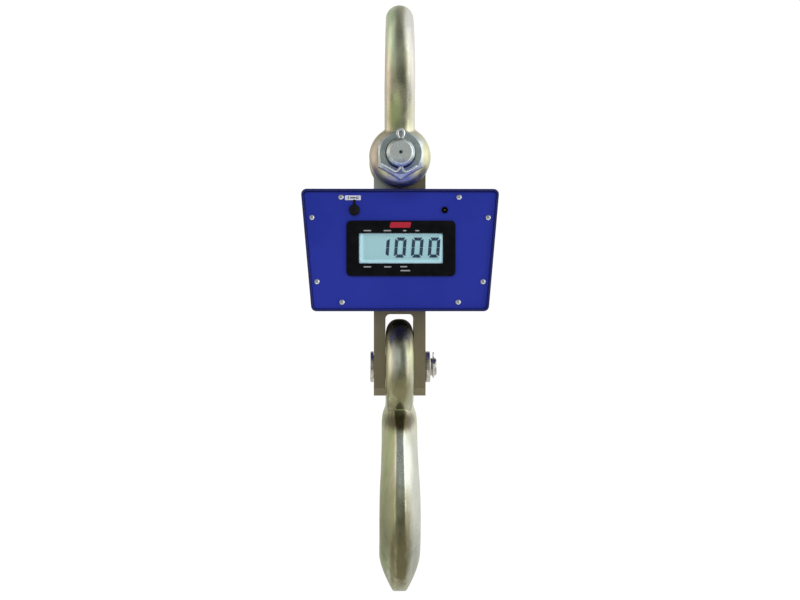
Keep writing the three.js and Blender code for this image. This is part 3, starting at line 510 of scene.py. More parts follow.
MATERIALS = {
    "yellow_zinc": bow_zinc(),
    "blue_zinc": blue_zinc(),
    "machined_steel": machined_steel(),
    "blue_paint": blue_paint(),
    "rubber": rubber(),
    "black_plastic": black_plastic(),
    "clear_window": clear_window(),
    "display_glass": display_glass(),
    "circuit_board": circuit_board(),
    "label": print_ink("white_plate", (0.66, 0.66, 0.80), (0.56, 0.56, 0.70)),
    "steel": bright_steel(),
    "battery_case": battery_case(),
    "cable": cable_sheath(),
}
TURNED_STEEL = turned_steel()
PRESSED_ZINC = pressed_zinc()
SEGMENT_INK = segment_ink()
DISPLAY_EDGE = display_edge()
HOOK_ZINC = hook_zinc()
WHITE_INK = print_ink("white_ink", (0.36, 0.36, 0.37), (0.25, 0.25, 0.26))
RED_INK = print_ink("red_ink", (0.46, 0.012, 0.034), (0.26, 0.008, 0.02))
BLACK_INK = print_ink("black_ink", (0.02, 0.02, 0.022), (0.04, 0.04, 0.042))

# ------------------------------------------------------------------ shapes: (vertices in mm, faces)


def basis(axis):
    """Two unit vectors square to an axis, and the axis itself."""
    w = Vector(axis).normalized()
    u = Vector((0, 0, 1)) if abs(w.z) < 0.9 else Vector((1, 0, 0))
    u = (u - w * u.dot(w)).normalized()
    return u, w.cross(u), w


def polar(radius, degrees):
    angle = math.radians(degrees)
    return radius * math.cos(angle), radius * math.sin(angle)


def tube_faces(rows, columns):
    """Quads over rows of points, each row closed on itself, with a cap on the first row and on the last."""
    faces = []
    for row in range(rows - 1):
        here, following = row * columns, (row + 1) * columns
        for k in range(columns):
            after = (k + 1) % columns
            faces.append((here + k, here + after, following + after, following + k))
    last = (rows - 1) * columns
    return faces + [tuple(range(columns - 1, -1, -1)), tuple(range(last, last + columns))]


def revolved(profile, axis, origin=(0, 0, 0), segments=64):
    """Turns [radius, along] points about an axis. The profile may also be a function of the angle."""
    u, v, w = basis(axis)
    origin = Vector(origin)
    profile_at = profile if callable(profile) else (lambda angle: profile)
    rows = []
    for k in range(segments):
        angle = 2 * math.pi * k / segments
        outward = u * math.cos(angle) + v * math.sin(angle)
        rows.append([origin + outward * r + w * h for r, h in profile_at(angle)])
    count = len(rows[0])
    points = [point for row in rows for point in row]
    faces = []
    for k in range(segments):
        after = (k + 1) % segments
        for j in range(count):
            j2 = (j + 1) % count
            faces.append((k * count + j, after * count + j, after * count + j2, k * count + j2))
    return points, faces


def rod(radius, low, high, axis, origin=(0, 0, 0), segments=64):
    """A plain round bar, mostly used to drill with."""
    return revolved([(0, low), (radius, low), (radius, high), (0, high)], axis, origin, segments)


def prism(outline, place, low, high):
    """A flat outline carried from low to high. place(a, b, t) puts a point in space."""
    count = len(outline)
    points = [Vector(place(a, b, low)) for a, b in outline] + [Vector(place(a, b, high)) for a, b in outline]
    faces = [tuple(range(count)), tuple(range(2 * count - 1, count - 1, -1))]
    faces += [(k, (k + 1) % count, (k + 1) % count + count, k + count) for k in range(count)]
    return points, faces


def along_y(a, b, t):
    return (a, t, b)


def along_x(a, b, t):
    return (t, a, b)


def along_z(a, b, t):
    return (a, b, t)


def block(x, y, z):
    outline = [(x[0], z[0]), (x[1], z[0]), (x[1], z[1]), (x[0], z[1])]
    return prism(outline, along_y, y[0], y[1])


def rounded_outline(corners, radius, steps=8):
    """A closed outline with rounded corners. radius may be one number or one for each corner."""
    count = len(corners)
    radii = radius if isinstance(radius, (list, tuple)) else [radius] * count
    outline = []
    for i, corner in enumerate(corners):
        here = Vector(corner)
        before = (Vector(corners[i - 1]) - here).normalized()
        after = (Vector(corners[(i + 1) % count]) - here).normalized()
        r = radii[i]
        if not r:
            outline.append(tuple(here))
            continue
        half = before.angle(after) / 2
        centre = here + (before + after).normalized() * (r / math.sin(half))
        start = here + before * (r / math.tan(half)) - centre
        end = here + after * (r / math.tan(half)) - centre
        turn = math.atan2(start.x * end.y - start.y * end.x, start.dot(end))
        for k in range(steps + 1):
            angle = turn * k / steps
            cos, sin = math.cos(angle), math.sin(angle)
            x = centre.x + start.x * cos - start.y * sin
            y = centre.y + start.x * sin + start.y * cos
            outline.append((x, y))
    return outline


def rectangle(x, z, width, height):
    return [
        (x - width / 2, z - height / 2),
        (x + width / 2, z - height / 2),
        (x + width / 2, z + height / 2),
        (x - width / 2, z + height / 2),
    ]


def spline(points, samples):
    """Points along a smooth curve through the given ones (centripetal Catmull-Rom)."""

    def blend(a, b, start, end, at):
        return a * ((end - at) / (end - start)) + b * ((at - start) / (end - start))

    given = [Vector(p) for p in points]
    given = [given[0] * 2 - given[1]] + given + [given[-1] * 2 - given[-2]]
    spans = len(given) - 3
    result = []
    for s in range(samples + 1):
        t = spans * s / samples
        k = min(int(t), spans - 1)
        p0, p1, p2, p3 = given[k : k + 4]
        knots = [0.0]
        for a, b in ((p0, p1), (p1, p2), (p2, p3)):
            knots.append(knots[-1] + max((b - a).length, 1e-9) ** 0.5)
        at = knots[1] + (knots[2] - knots[1]) * (t - k)
        a1 = blend(p0, p1, knots[0], knots[1], at)
        a2 = blend(p1, p2, knots[1], knots[2], at)
        a3 = blend(p2, p3, knots[2], knots[3], at)
        b1 = blend(a1, a2, knots[0], knots[2], at)
        b2 = blend(a2, a3, knots[1], knots[3], at)
        result.append(blend(b1, b2, knots[1], knots[2], at))
    return result


def swept(path, radius, sides=16):
    """A round wire along a path, with rounded ends."""
    path = [Vector(p) for p in path]
    tangents = []
    for i in range(len(path)):
        tangents.append((path[min(i + 1, len(path) - 1)] - path[max(i - 1, 0)]).normalized())
    across = basis(tangents[0])[0]
    stations = [(path[0] - tangents[0] * radius * 0.45, tangents[0], radius * 0.5)]
    stations += [(p, t, radius) for p, t in zip(path, tangents)]
    stations += [(path[-1] + tangents[-1] * radius * 0.45, tangents[-1], radius * 0.5)]
    points = []
    for centre, tangent, r in stations:
        across = (across - tangent * across.dot(tangent)).normalized()
        other = tangent.cross(across)
        for k in range(sides):
            angle = 2 * math.pi * k / sides
            points.append(centre + across * (r * math.cos(angle)) + other * (r * math.sin(angle)))
    return points, tube_faces(len(stations), sides)


def lofted(sections):
    points = [p for section in sections for p in section]
    return points, tube_faces(len(sections), len(sections[0]))


# ------------------------------------------------------------------ pieces


def mesh_object(name, *shapes):
    """One object from shapes in mm: doubled points merged, faces turned outwards."""
    bm = bmesh.new()
    for points, faces in shapes:
        made = [bm.verts.new(Vector(p) * MM) for p in points]
        for face in faces:
            corners = [made[i] for i in face]
            if len(set(corners)) > 2:
                bm.faces.new(corners)
    bmesh.ops.remove_doubles(bm, verts=bm.verts, dist=1e-6)
    bmesh.ops.dissolve_degenerate(bm, dist=1e-7, edges=bm.edges)
    bmesh.ops.recalc_face_normals(bm, faces=bm.faces)
    mesh = bpy.data.meshes.new(name)
    bm.to_mesh(mesh)
    bm.free()
    obj = bpy.data.objects.new(name, mesh)
    bpy.context.scene.collection.objects.link(obj)
    return obj


def settle(obj):
    """Replaces the object's mesh by what its modifiers make of it."""
    bpy.context.view_layer.update()
    evaluated = obj.evaluated_get(bpy.context.evaluated_depsgraph_get())
    mesh = bpy.data.meshes.new_from_object(evaluated)
    obj.modifiers.clear()
    obj.data = mesh


def combine(obj, others, operation="DIFFERENCE"):
    """Cuts the other shapes from the object, or joins them to it."""
    for other in others:
        tool = mesh_object("tool", other)
        step = obj.modifiers.new("combine", "BOOLEAN")
        step.operation = operation
        step.solver = "EXACT"
        step.object = tool
        settle(obj)
        bpy.data.objects.remove(tool)


def forged(obj, voxel, smoothing):
    """Remeshes overlapping shapes into one skin and rounds it, as a forging is."""
    remesh = obj.modifiers.new("remesh", "REMESH")
    remesh.mode = "VOXEL"
    remesh.voxel_size = voxel * MM
    smooth = obj.modifiers.new("smooth", "SMOOTH")
    smooth.factor = 0.5
    smooth.iterations = smoothing
    settle(obj)
    return obj


def relaxed(obj, low, high, front, passes):
    """Rounds the creases off between two heights, behind a given depth."""
    low, high, front = low * MM, high * MM, front * MM
    every_axis = {"use_axis_x": True, "use_axis_y": True, "use_axis_z": True}
    data = bmesh.new()
    data.from_mesh(obj.data)
    inside = [v for v in data.verts if low < v.co.z < high and v.co.y > front]
    for _ in range(passes):
        bmesh.ops.smooth_vert(data, verts=inside, factor=0.5, **every_axis)
    data.to_mesh(obj.data)
    data.free()


def smooth_shading(obj, angle=40):
    obj.data.shade_smooth()
    obj.data.set_sharp_from_angle(angle=math.radians(angle))
    return obj


def softened(obj, width, segments=3, angle=35):
    """Rounds the object's edges and keeps its flat faces flat in shading."""
    bevel = obj.modifiers.new("edges", "BEVEL")
    bevel.width = width * MM
    bevel.segments = segments
    bevel.limit_method = "ANGLE"
    bevel.angle_limit = math.radians(angle)
    bevel.use_clamp_overlap = True
    bevel.harden_normals = True
    obj.data.shade_smooth()
    return obj


def finish_piece(obj, slot, body, replaces=(), material=None):
    """Gives a piece its material, the slot's unless one is given, and its body, and hides the CAD nodes it
    stands for.
    """
    obj.data.materials.clear()
    obj.data.materials.append(material or MATERIALS[slot])
    if body:
        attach(obj, body)
    if replaces:
        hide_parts(*replaces)


# ------------------------------------------------------------------ shackle


def shackle_eyes(eye_y, radius, edge):
    """Round eyes, flat towards the bar and domed outwards. edge is half their thickness."""
    # How far each point of the rim lies inside the radius, and how far along the bolt.
    flat_side = [(7, 0), (4.4, 0.7), (2.1, 2.6), (0.5, 5.6), (0, 9)]
    domed_side = [(0, -2), (0.5, 2.4), (1.9, 6.6), (4, 10.4), (6.8, 13.8), (10, 16.6), (13, edge)]
    profile = [(0, -edge)]
    profile += [(radius - drop, along - edge) for drop, along in flat_side]
    profile += [(radius - drop, along) for drop, along in domed_side]
    profile.append((0, edge))
    eyes = []
    for side in (-1, 1):
        eyes.append(revolved([(a, side * b) for a, b in profile], Y_AXIS, (0, side * eye_y, BOLT_Z), 72))
    return eyes


def shackle_bow_piece():
    """A bow of round wire, wider in its legs, between two eyes."""
    wire, leg_width, crown, eye_y, stations = 36, 38.4, 49, 46.5, 120
    radius = crown + wire / 2
    centre_z = wire / 2 - radius
    half = [(eye_y, BOLT_Z + 14), (eye_y + 0.5, -130), (54, -100)]
    for y, z in (polar(radius, degrees) for degrees in (-14, 10, 34, 58, 76)):
        half.append((y, centre_z + z))
    path = half + [(0, centre_z + radius)] + [(-y, z) for y, z in reversed(half)]
    path = spline([(0, y, z) for y, z in path], stations)
    sections = []
    for i, centre in enumerate(path):
        tangent = path[min(i + 1, stations)] - path[max(i - 1, 0)]
        through = tangent.cross(X_AXIS).normalized() * (wire / 2)
        below = min(max((wire / 2 - centre.z) / 80, 0), 1)
        across = X_AXIS * (wire + (leg_width - wire) * below) / 2
        turns = [2 * math.pi * k / 40 for k in range(40)]
        sections.append([centre + across * math.cos(t) + through * math.sin(t) for t in turns])
    eyes = shackle_eyes(eye_y, radius=39.5, edge=18)
    bow = forged(mesh_object("shackle_bow_forging", lofted(sections), *eyes), voxel=1.4, smoothing=10)
    combine(bow, [rod(BOLT_HOLE, -90, 90, Y_AXIS, (0, 0, BOLT_Z), 72)])
    smooth_shading(bow, 50)
    finish_piece(bow, "yellow_zinc", "shackle", ["shackle_bow"])


def hex_profile(across_flats, low, high, hole, face_radius, rise):
    """A chamfered hexagon's section at an angle, its corners up and down, with a countersunk hole if any."""

    def at(angle):
        turned = angle % (math.pi / 3) - math.pi / 6
        r = across_flats / 2 / math.cos(turned)
        drop = max(r - face_radius, 0) * rise
        points = [(face_radius, low), (r - 0.5, low + drop), (r, low + drop + 0.7)]
        points += [(r, high - drop - 0.7), (r - 0.5, high - drop), (face_radius, high)]
        if hole:
            return [(hole, low + 1.4), (hole + 1.4, low), *points, (hole + 1.4, high), (hole, high - 1.4)]
        return [(0, low), *points, (0, high)]

    return at


def shackle_nut_piece():
    section = hex_profile(across_flats=56, low=-92.8, high=-64.8, hole=18.05, face_radius=26.2, rise=0.8)
    nut = mesh_object("shackle_nut_turned", revolved(section, Y_AXIS, (0, 0, BOLT_Z), 144))
    smooth_shading(nut, 22)
    finish_piece(nut, "blue_zinc", "bolt_set", ["shackle_nut"])


def thread_profile(radius, start, end, pitch, depth):
    """Ridges of a screw thread as a stack of rings, from start to end along the axis."""
    points = []
    count = int(abs(end - start) / pitch)
    step = (end - start) / count
    for k in range(count):
        base = start + k * step
        points += [(radius - depth, base), (radius, base + step * 0.38), (radius, base + step * 0.62)]
    points.append((radius - depth, end))
    return points


def shackle_bolt_piece():
    """A hexagon head and a shank, threaded for the nut and chamfered at its sawn end."""
    section = hex_profile(across_flats=56, low=64.8, high=86.8, hole=0, face_radius=26.2, rise=0.7)
    bolt = mesh_object("shackle_bolt_turned", revolved(section, Y_AXIS, (0, 0, BOLT_Z), 144))
    profile = [(0, 70), (19, 70), (19, -60.5), (17.6, -62)]
    profile += thread_profile(17.75, start=-63, end=-92.4, pitch=3, depth=1.1)
    profile += [(17.75, -93), (17.75, -104.4), (17.4, -105.2), (14.4, -108.6), (13.8, -109)]
    profile += [(1.9, -109), (1.5, -108.5), (0.9, -106), (0, -105)]
    shank = revolved(profile, Y_AXIS, (0, 0, BOLT_Z), 96)
    combine(bolt, [shank], "UNION")
    combine(bolt, [rod(3.1, -30, 30, Z_AXIS, (0, BOLT_SPLIT_PIN_Y, BOLT_Z), 24)])
    smooth_shading(bolt, 22)
    finish_piece(bolt, "blue_zinc", "bolt_set", ["shackle_bolt"])


def shackle_split_pin_piece():
    outline = [
        (-25, -12.5),
        (-15, -18),
        (-6, -22.5),
        (-1.6, -19),
        (-1.6, 0),
        (-1.6, 18),
        (-3.9, 23),
        (-3.2, 27.6),
        (0, 29.4),
        (3.2, 27.6),
        (3.9, 23),
        (1.6, 18),
        (1.6, 0),
        (1.6, -19),
        (6, -23),
        (13, -20.5),
        (20, -16.5),
    ]
    path = spline([(a, BOLT_SPLIT_PIN_Y, BOLT_Z + b) for a, b in outline], 150)
    pin = smooth_shading(mesh_object("shackle_split_pin_bent", swept(path, 1.7, 16)), 60)
    finish_piece(pin, "blue_zinc", "bolt_set", ["shackle_split_pin"], MATERIALS["steel"])


# ------------------------------------------------------------------ load bar


def load_bar_outline(bottom):
    """The bar from the front: a half-round top and a fork with a round-cornered slot."""
    half, slot_half, slot_top, corner = 33.5, 18.4, -367, 6
    top = [(x, BOLT_Z + z) for x, z in (polar(half, degrees) for degrees in range(0, 181, 5))]
    slot = [(-slot_half, bottom)]
    for side, start in ((-1, 180), (1, 90)):
        for k in range(7):
            x, z = polar(corner, start - 15 * k)
            slot.append((side * (slot_half - corner) + x, slot_top - corner + z))
    slot.append((slot_half, bottom))
    return [(half, bottom), *top, (-half, bottom), *slot]


def load_bar_piece():
    """The bar with its two cross holes, a strain-gauge pocket in each face and tapered lower ends."""
    bottom, gauges_z = -472.4, -285
    bar = mesh_object("load_bar_machined", prism(load_bar_outline(bottom), along_y, -25, 25))
    cuts = [
        rod(BOLT_HOLE, -60, 60, Y_AXIS, (0, 0, BOLT_Z)),
        rod(PIN_HOLE, -60, 60, X_AXIS, (0, 0, PIN_Z)),
    ]
    for face in (-1, 1):
        for radius, depth in ((19, 14), (22, 23.2)):
            low, high = sorted((face * depth, face * 30))
            cuts.append(rod(radius, low, high, Y_AXIS, (0, 0, gauges_z), 48))
    cuts.append(rod(3.2, 0, 60, X_AXIS, (0, -17, gauges_z), 24))
    for face in (-1, 1):
        taper = [(26, -1), (22.8, -1), (25.01, 9.5), (26, 9.5)]
        cuts.append(prism([(face * y, bottom + z) for y, z in taper], along_x, -40, 40))
    combine(bar, cuts)
    softened(bar, 0.8, 2, 9)
    finish_piece(bar, "machined_steel", "scale_body", ["load_bar"])


# ------------------------------------------------------------------ housing


def housing_outline(margin, radius):
    """The housing's trapezoid, drawn in by a margin."""
    height = HOUSING["top"] - HOUSING["bottom"]
    slope = (HOUSING["top_half"] - HOUSING["bottom_half"]) / height
    side = margin * math.hypot(1, slope)
    top = HOUSING["top_half"] - side - margin * slope
    bottom = HOUSING["bottom_half"] - side + margin * slope
    low, high = HOUSING["bottom"] + margin, HOUSING["top"] - margin
    return rounded_outline([(-bottom, low), (bottom, low), (top, high), (-top, high)], radius)


def housing_shell_piece():
    """A box open at the front, with a way through it for the load bar."""
    rim, wall = HOUSING["rim"], HOUSING["wall"]
    shell = mesh_object("housing_shell_folded", prism(housing_outline(0, 7), along_y, -rim, rim))
    hollow = prism(housing_outline(wall, 4), along_y, -rim - 5, rim - wall)
    way_for_the_bar = block((-34.1, 34.1), (-25.6, 25.6), (-400, -180))
    combine(shell, [hollow, way_for_the_bar])
    softened(shell, 0.9, 3, 40)
    finish_piece(shell, "blue_paint", "scale_body", ["housing_shell"])


def front_cover_piece():
    """The plate inside the rim, cut out for the display, the screws, the switch and the jack."""
    cover = mesh_object("front_cover_plate", prism(housing_outline(3.5, 3.6), along_y, -54, -52))
    cutout = rounded_outline(rectangle(DISPLAY["x"], DISPLAY["z"], 123, 55), 3)
    tools = [prism(cutout, along_y, -60, -40)]
    tools += [rod(2.2, -60, -40, Y_AXIS, (x, 0, z), 24) for x, z in COVER_SCREWS]
    for x, radius in ((SWITCH_X, 3.6), (JACK_X, 3.8)):
        tools.append(rod(radius, -60, -40, Y_AXIS, (x, 0, PANEL_ROW_Z), 32))
    combine(cover, tools)
    softened(cover, 0.35, 2, 40)
    finish_piece(cover, "blue_paint", "scale_body", ["front_cover"])


def cover_screw_pieces():
    """Pan heads with a cross recess, all from one mesh, each turned its own way."""
    head = [(0, -2.6), (1.2, -2.56), (2.3, -2.3), (3.1, -1.75), (3.55, -1.0), (3.7, -0.3), (3.6, 0)]
    shank = [(1.9, 0), (1.9, 8.2), (1.3, 9), (0, 9)]
    master = mesh_object("screw", revolved(head + shank, Y_AXIS, (0, 0, 0), 32))
    recess = [block((-1.9, 1.9), (-4, -1.2), (-0.42, 0.42)), block((-0.42, 0.42), (-4, -1.2), (-1.9, 1.9))]
    combine(master, recess)
    smooth_shading(master, 35)
    for k, (x, z) in enumerate(COVER_SCREWS):
        screw = bpy.data.objects.new(f"pan_head_{k + 1}", master.data)
        bpy.context.scene.collection.objects.link(screw)
        screw.location = Vector((x, -54.15, z)) * MM
        screw.rotation_euler = (0, math.radians(37 * k + 12), 0)
        finish_piece(screw, "steel", "scale_body", [f"cover_screw_{k + 1}"])
    bpy.data.objects.remove(master)


# ------------------------------------------------------------------ display


def display_bezel_piece():
    """A rounded face with a window, and a collar that passes through the cover."""
    x, z = DISPLAY["x"], DISPLAY["z"]
    face = rounded_outline(rectangle(x, z, DISPLAY["width"], DISPLAY["height"]), 6)
    collar = rounded_outline(rectangle(x, z, 122.2, 54.2), 2.6)
    well = rounded_outline(rectangle(x, z, 118, 50), 1)
    window = rounded_outline(rectangle(x, z, *DISPLAY["window"]), 1)
    bezel = mesh_object("display_bezel_moulding", prism(face, along_y, -56.6, -54.3))
    combine(bezel, [prism(collar, along_y, -54.6, -48.6)], "UNION")
    combine(bezel, [prism(well, along_y, -54.9, -40), prism(window, along_y, -60, -40)])
    softened(bezel, 0.6, 3, 40)
    finish_piece(bezel, "black_plastic", "scale_body", ["display_bezel"])


def display_cell_pieces():
    """The liquid crystal cell: its glass, a lighter edge round the ground, and the segments."""
    x, z = DISPLAY["x"], DISPLAY["z"]
    width, height = DISPLAY["window"]
    glass = mesh_object("liquid_crystal_cell", block((x - 57.5, x + 57.5), (-52.8, -51.7), (z - 20, z + 20)))
    combine(glass, [block((x - 57.5, x + 57.5), (-51.8, -50.4), (z - 23, z + 23))], "UNION")
    softened(glass, 0.15, 2)
    finish_piece(glass, "display_glass", "scale_body", ["lcd_glass"])

    outer = rounded_outline(rectangle(x, z, width + 3, height + 3), 1)
    inner = rounded_outline(rectangle(x + 0.2, z + 0.3, width - 3.4, height - 3.0), 1.2)
    edge = mesh_object("display_reflector_edge", prism(outer, along_y, -52.98, -52.86))
    combine(edge, [prism(inner, along_y, -54, -51)])
    finish_piece(edge, "display_glass", "scale_body", material=DISPLAY_EDGE)
    digit_pieces()


def segment_outlines(width, height, thick):
    """A digit's segments, all but the middle one, as outlines about the digit's lower left corner."""
    gap, bevel = 0.2, thick * 0.4
    middle = height / 2

    def upright(outer_x, inner_x, low, high):
        """Cut aslant where it meets the bottom segment or the top one, and square at the middle."""
        at_bottom, at_top = low == 0, high == height
        near, far = low + gap, high - gap
        return [
            (outer_x, near + bevel * at_bottom),
            (inner_x, near + thick * at_bottom),
            (inner_x, far - thick * at_top),
            (outer_x, far - bevel * at_top),
        ]

    def level(z, inset_low, inset_high):
        return [
            (inset_low + gap, z),
            (width - inset_low - gap, z),
            (width - inset_high - gap, z + thick),
            (inset_high + gap, z + thick),
        ]

    return {
        "top": level(height - thick, thick * 0.95, bevel),
        "bottom": level(0, bevel, thick * 0.95),
        "upper_left": upright(0, thick, middle, height),
        "upper_right": upright(width, width - thick, middle, height),
        "lower_left": upright(0, thick, 0, middle),
        "lower_right": upright(width, width - thick, 0, middle),
    }


def digit_pieces():
    """The reading, 1000, in slanted seven-segment digits."""
    width, height, thick, base_z = 16.6, 25.6, 4.0, -294.5
    slant = math.tan(math.radians(4.5))
    outlines = segment_outlines(width - height * slant, height, thick)
    one, zero = ["upper_right", "lower_right"], list(outlines)
    shapes = []
    for right, names in ((-12.8, one), (8.6, zero), (30.2, zero), (51.7, zero)):
        left = right - width
        for name in names:
            outline = [(left + a + b * slant, base_z + b) for a, b in outlines[name]]
            shapes.append(prism(outline, along_y, -53.1, -52.82))
    digits = mesh_object("reading_segments", *shapes)
    finish_piece(digits, "display_glass", "scale_body", material=SEGMENT_INK)


def bezel_marks():
    """Plain bars where the bezel's small legends are, and a plain red bar where its badge is."""
    x = DISPLAY["x"]
    legends = [
        (-41.7, -260.3, 9.6),
        (-16.3, -260.3, 9.6),
        (5.9, -260.3, 4.2),
        (21.8, -260.3, 5.2),
        (-41.7, -306.4, 9.6),
        (-15.8, -306.4, 9.2),
        (4.6, -306.2, 9.0),
        (6.6, -311.2, 12.6),
    ]
    bars = []
    for mark_x, mark_z, length in legends:
        outline = rounded_outline(rectangle(mark_x, mark_z, length, 1.5), 0.7, 4)
        bars.append(prism(outline, along_y, -56.72, -56.5))
    finish_piece(mesh_object("legend_bars", *bars), "label", "scale_body", material=WHITE_INK)
    corners = [(x - 15, -256.6), (x + 11.6, -256.6), (x + 13.4, -249.4), (x - 12.8, -249.4)]
    bar = mesh_object("badge_bar", prism(rounded_outline(corners, 1.3, 5), along_y, -56.85, -56.5))
    finish_piece(softened(bar, 0.1, 2), "label", "scale_body", material=RED_INK)


def display_lens_piece():
    x, z = DISPLAY["x"], DISPLAY["z"]
    pane = block((x - 57.5, x + 57.5), (-54.6, -53.3), (z - 24.5, z + 24.5))
    lens = mesh_object("display_window", pane)
    softened(lens, 0.25, 2)
    finish_piece(lens, "clear_window", "scale_body", ["display_lens"])


# ------------------------------------------------------------------ switch and jack


def lever_direction():
    tilt = math.radians(LEVER["tilt"])
    return Vector((0, -math.cos(tilt), math.sin(tilt)))


def switch_pieces():
    """The lever, and the rubber boot that closes round it."""
    at = (SWITCH_X, 0, PANEL_ROW_Z)
    root = (SWITCH_X, LEVER["pivot_y"], PANEL_ROW_Z)
    tip = LEVER["length"]
    lever = [(0, -2.2), (0.5, -2), (0.75, 3), (1.0, tip - 4), (1.35, tip - 2), (1.1, tip - 0.5), (0, tip)]
    bat = smooth_shading(mesh_object("switch_bat", revolved(lever, lever_direction(), root, 24)), 60)
    finish_piece(bat, "steel", "lever", ["switch_lever"])

    foot = [(0, -54.3), (7.1, -54.3), (7.1, -56.4), (6.7, -57.6), (5.8, -60), (3.8, -62), (0, -62.8)]
    sleeve = [(0, 6), (3.1, 7), (2.4, 12), (1.9, 16), (1.95, tip + 0.4), (1.2, tip + 1.3), (0, tip + 1.5)]
    boot = mesh_object(
        "switch_boot_moulded",
        revolved(foot, Y_AXIS, at, 48),
        revolved(sleeve, lever_direction(), root, 32),
    )
    forged(boot, voxel=0.3, smoothing=5)
    smooth_shading(boot, 60)
    finish_piece(boot, "rubber", None, ["switch_boot"])
    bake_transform(boot)


def switch_plate_piece():
    """The white plate over the switch, with a bar and a ring for on and off, and a dash between them."""
    z = -218.4
    outline = rounded_outline(rectangle(-60.2, z, 20.2, 6.0), 0.8, 5)
    plate = mesh_object("switch_plate_printed", prism(outline, along_y, -54.8, -54.1))
    finish_piece(softened(plate, 0.15, 2), "label", "scale_body", ["switch_plate"])
    ring = revolved([(0.9, -54.9), (1.7, -54.9), (1.7, -54.7), (0.9, -54.7)], Y_AXIS, (-54.6, 0, z), 32)
    bar = prism(rectangle(-66.0, z, 1.1, 3.3), along_y, -54.9, -54.7)
    dash = prism(rectangle(-60.3, z, 6.6, 1.5), along_y, -54.9, -54.7)
    marks = mesh_object("switch_plate_marks", ring, bar, dash)
    finish_piece(marks, "label", "scale_body", material=BLACK_INK)


def charging_jack_piece():
    """A round socket with a rim on the cover, and its centre contact."""
    at = (JACK_X, 0, PANEL_ROW_Z)
    barrel = [(0, -38), (3.4, -38), (3.4, -54.3)]
    rim = [(4.2, -54.3), (4.2, -55.5), (3.9, -55.9), (3.5, -56), (0, -56)]
    jack = mesh_object("charging_jack_turned", revolved(barrel + rim, Y_AXIS, at, 48))
    combine(jack, [rod(2.7, -42, -57, Y_AXIS, at, 40)])
    smooth_shading(jack, 30)
    finish_piece(jack, "black_plastic", "scale_body", ["charging_jack"])
    pin = [(0, -41), (1, -41), (1, -54.9), (0.8, -55.3), (0, -55.4)]
    contact = smooth_shading(mesh_object("charging_jack_pin", revolved(pin, Y_AXIS, at, 24)), 30)
    finish_piece(contact, "machined_steel", "scale_body")


# ------------------------------------------------------------------ hook pin


def hook_pin_pieces():
    """The headed pin, its washer and the split pin that keeps them on."""
    at = (0, 0, PIN_Z)
    seat = 33.8
    profile = [
        (0, -seat - 4.2),
        (18.9, -seat - 4.2),
        (20.0, -seat - 3.6),
        (20.3, -seat - 3),
        (20.3, -seat),
        (15.5, -seat),
        (15.5, seat + 0.2),
        (11.5, seat + 0.2),
        (11.5, 46.8),
        (10.9, 47.9),
        (9.8, 48.5),
        (0, 48.5),
    ]
    pin = mesh_object("hook_pin_turned", revolved(profile, X_AXIS, at, 72))
    combine(pin, [rod(2.4, -30, 30, Z_AXIS, (PIN_SPLIT_PIN_X, 0, PIN_Z), 24)])
    smooth_shading(pin, 28)
    finish_piece(pin, "machined_steel", "pin_set", ["hook_pin"], TURNED_STEEL)

    seat += 0.5
    ring = [(11.8, seat + 0.6), (12.4, seat), (19.5, seat), (20.3, seat + 0.8)]
    ring += [(20.3, seat + 5), (19.5, seat + 5.8), (12.4, seat + 5.8), (11.8, seat + 5.2)]
    washer = smooth_shading(mesh_object("hook_pin_washer_turned", revolved(ring, X_AXIS, at, 72)), 30)
    finish_piece(washer, "machined_steel", "pin_set", ["hook_pin_washer"], TURNED_STEEL)

    bent_end = [(-15, 4), (-13.4, -5), (-8, -12.6), (-1.25, -12.8)]
    leg = bent_end + [(-1.25, 0), (-1.25, 11.6), (-3, 13.6), (-2.2, 17)]
    outline = leg + [(0, 18.2)] + [(-a, b) for a, b in reversed(leg)]
    path = spline([(PIN_SPLIT_PIN_X, a, PIN_Z + b) for a, b in outline], 150)
    split = smooth_shading(mesh_object("hook_pin_split_pin_bent", swept(path, 1.0, 14)), 60)
    finish_piece(split, "steel", "pin_set", ["hook_pin_split_pin"])


# ------------------------------------------------------------------ hook

# Neck to tip, from the pin axis: inner edge (y, z), outer edge (y, z), half width, half outer flat.
HOOK_STATIONS = [
    ((25, -50), (-30, -50), 16.6, 9),
    ((23, -59), (-42, -55), 22, 8),
    ((19, -70), (-51, -66), 23.2, 6.4),
    ((10, -88), (-62, -85), 23.4, 5.2),
    ((-3, -110), (-74, -108), 23.8, 5.4),
    ((-18, -133), (-85, -133), 24.8, 5.8),
    ((-32, -160), (-94.5, -161), 26.2, 6.2),
    ((-40, -190), (-99, -192), 26.6, 6.3),
    ((-34.6, -212), (-86.5, -242.5), 26.6, 7),
    ((-20, -226.6), (-50, -279), 26.6, 7.8),
    ((0, -232), (0, -292), 26.6, 8.5),
    ((20, -226.6), (47, -274.5), 26.4, 8.6),
    ((34.6, -212), (72.5, -234), 25, 8.6),
    ((40, -192), (78, -192), 21.5, 8.2),
    ((42, -174), (76, -166), 17, 7.6),
    ((47, -153), (70, -145), 12, 6.6),
    ((54, -140), (64, -136.5), 6.5, 4),
]


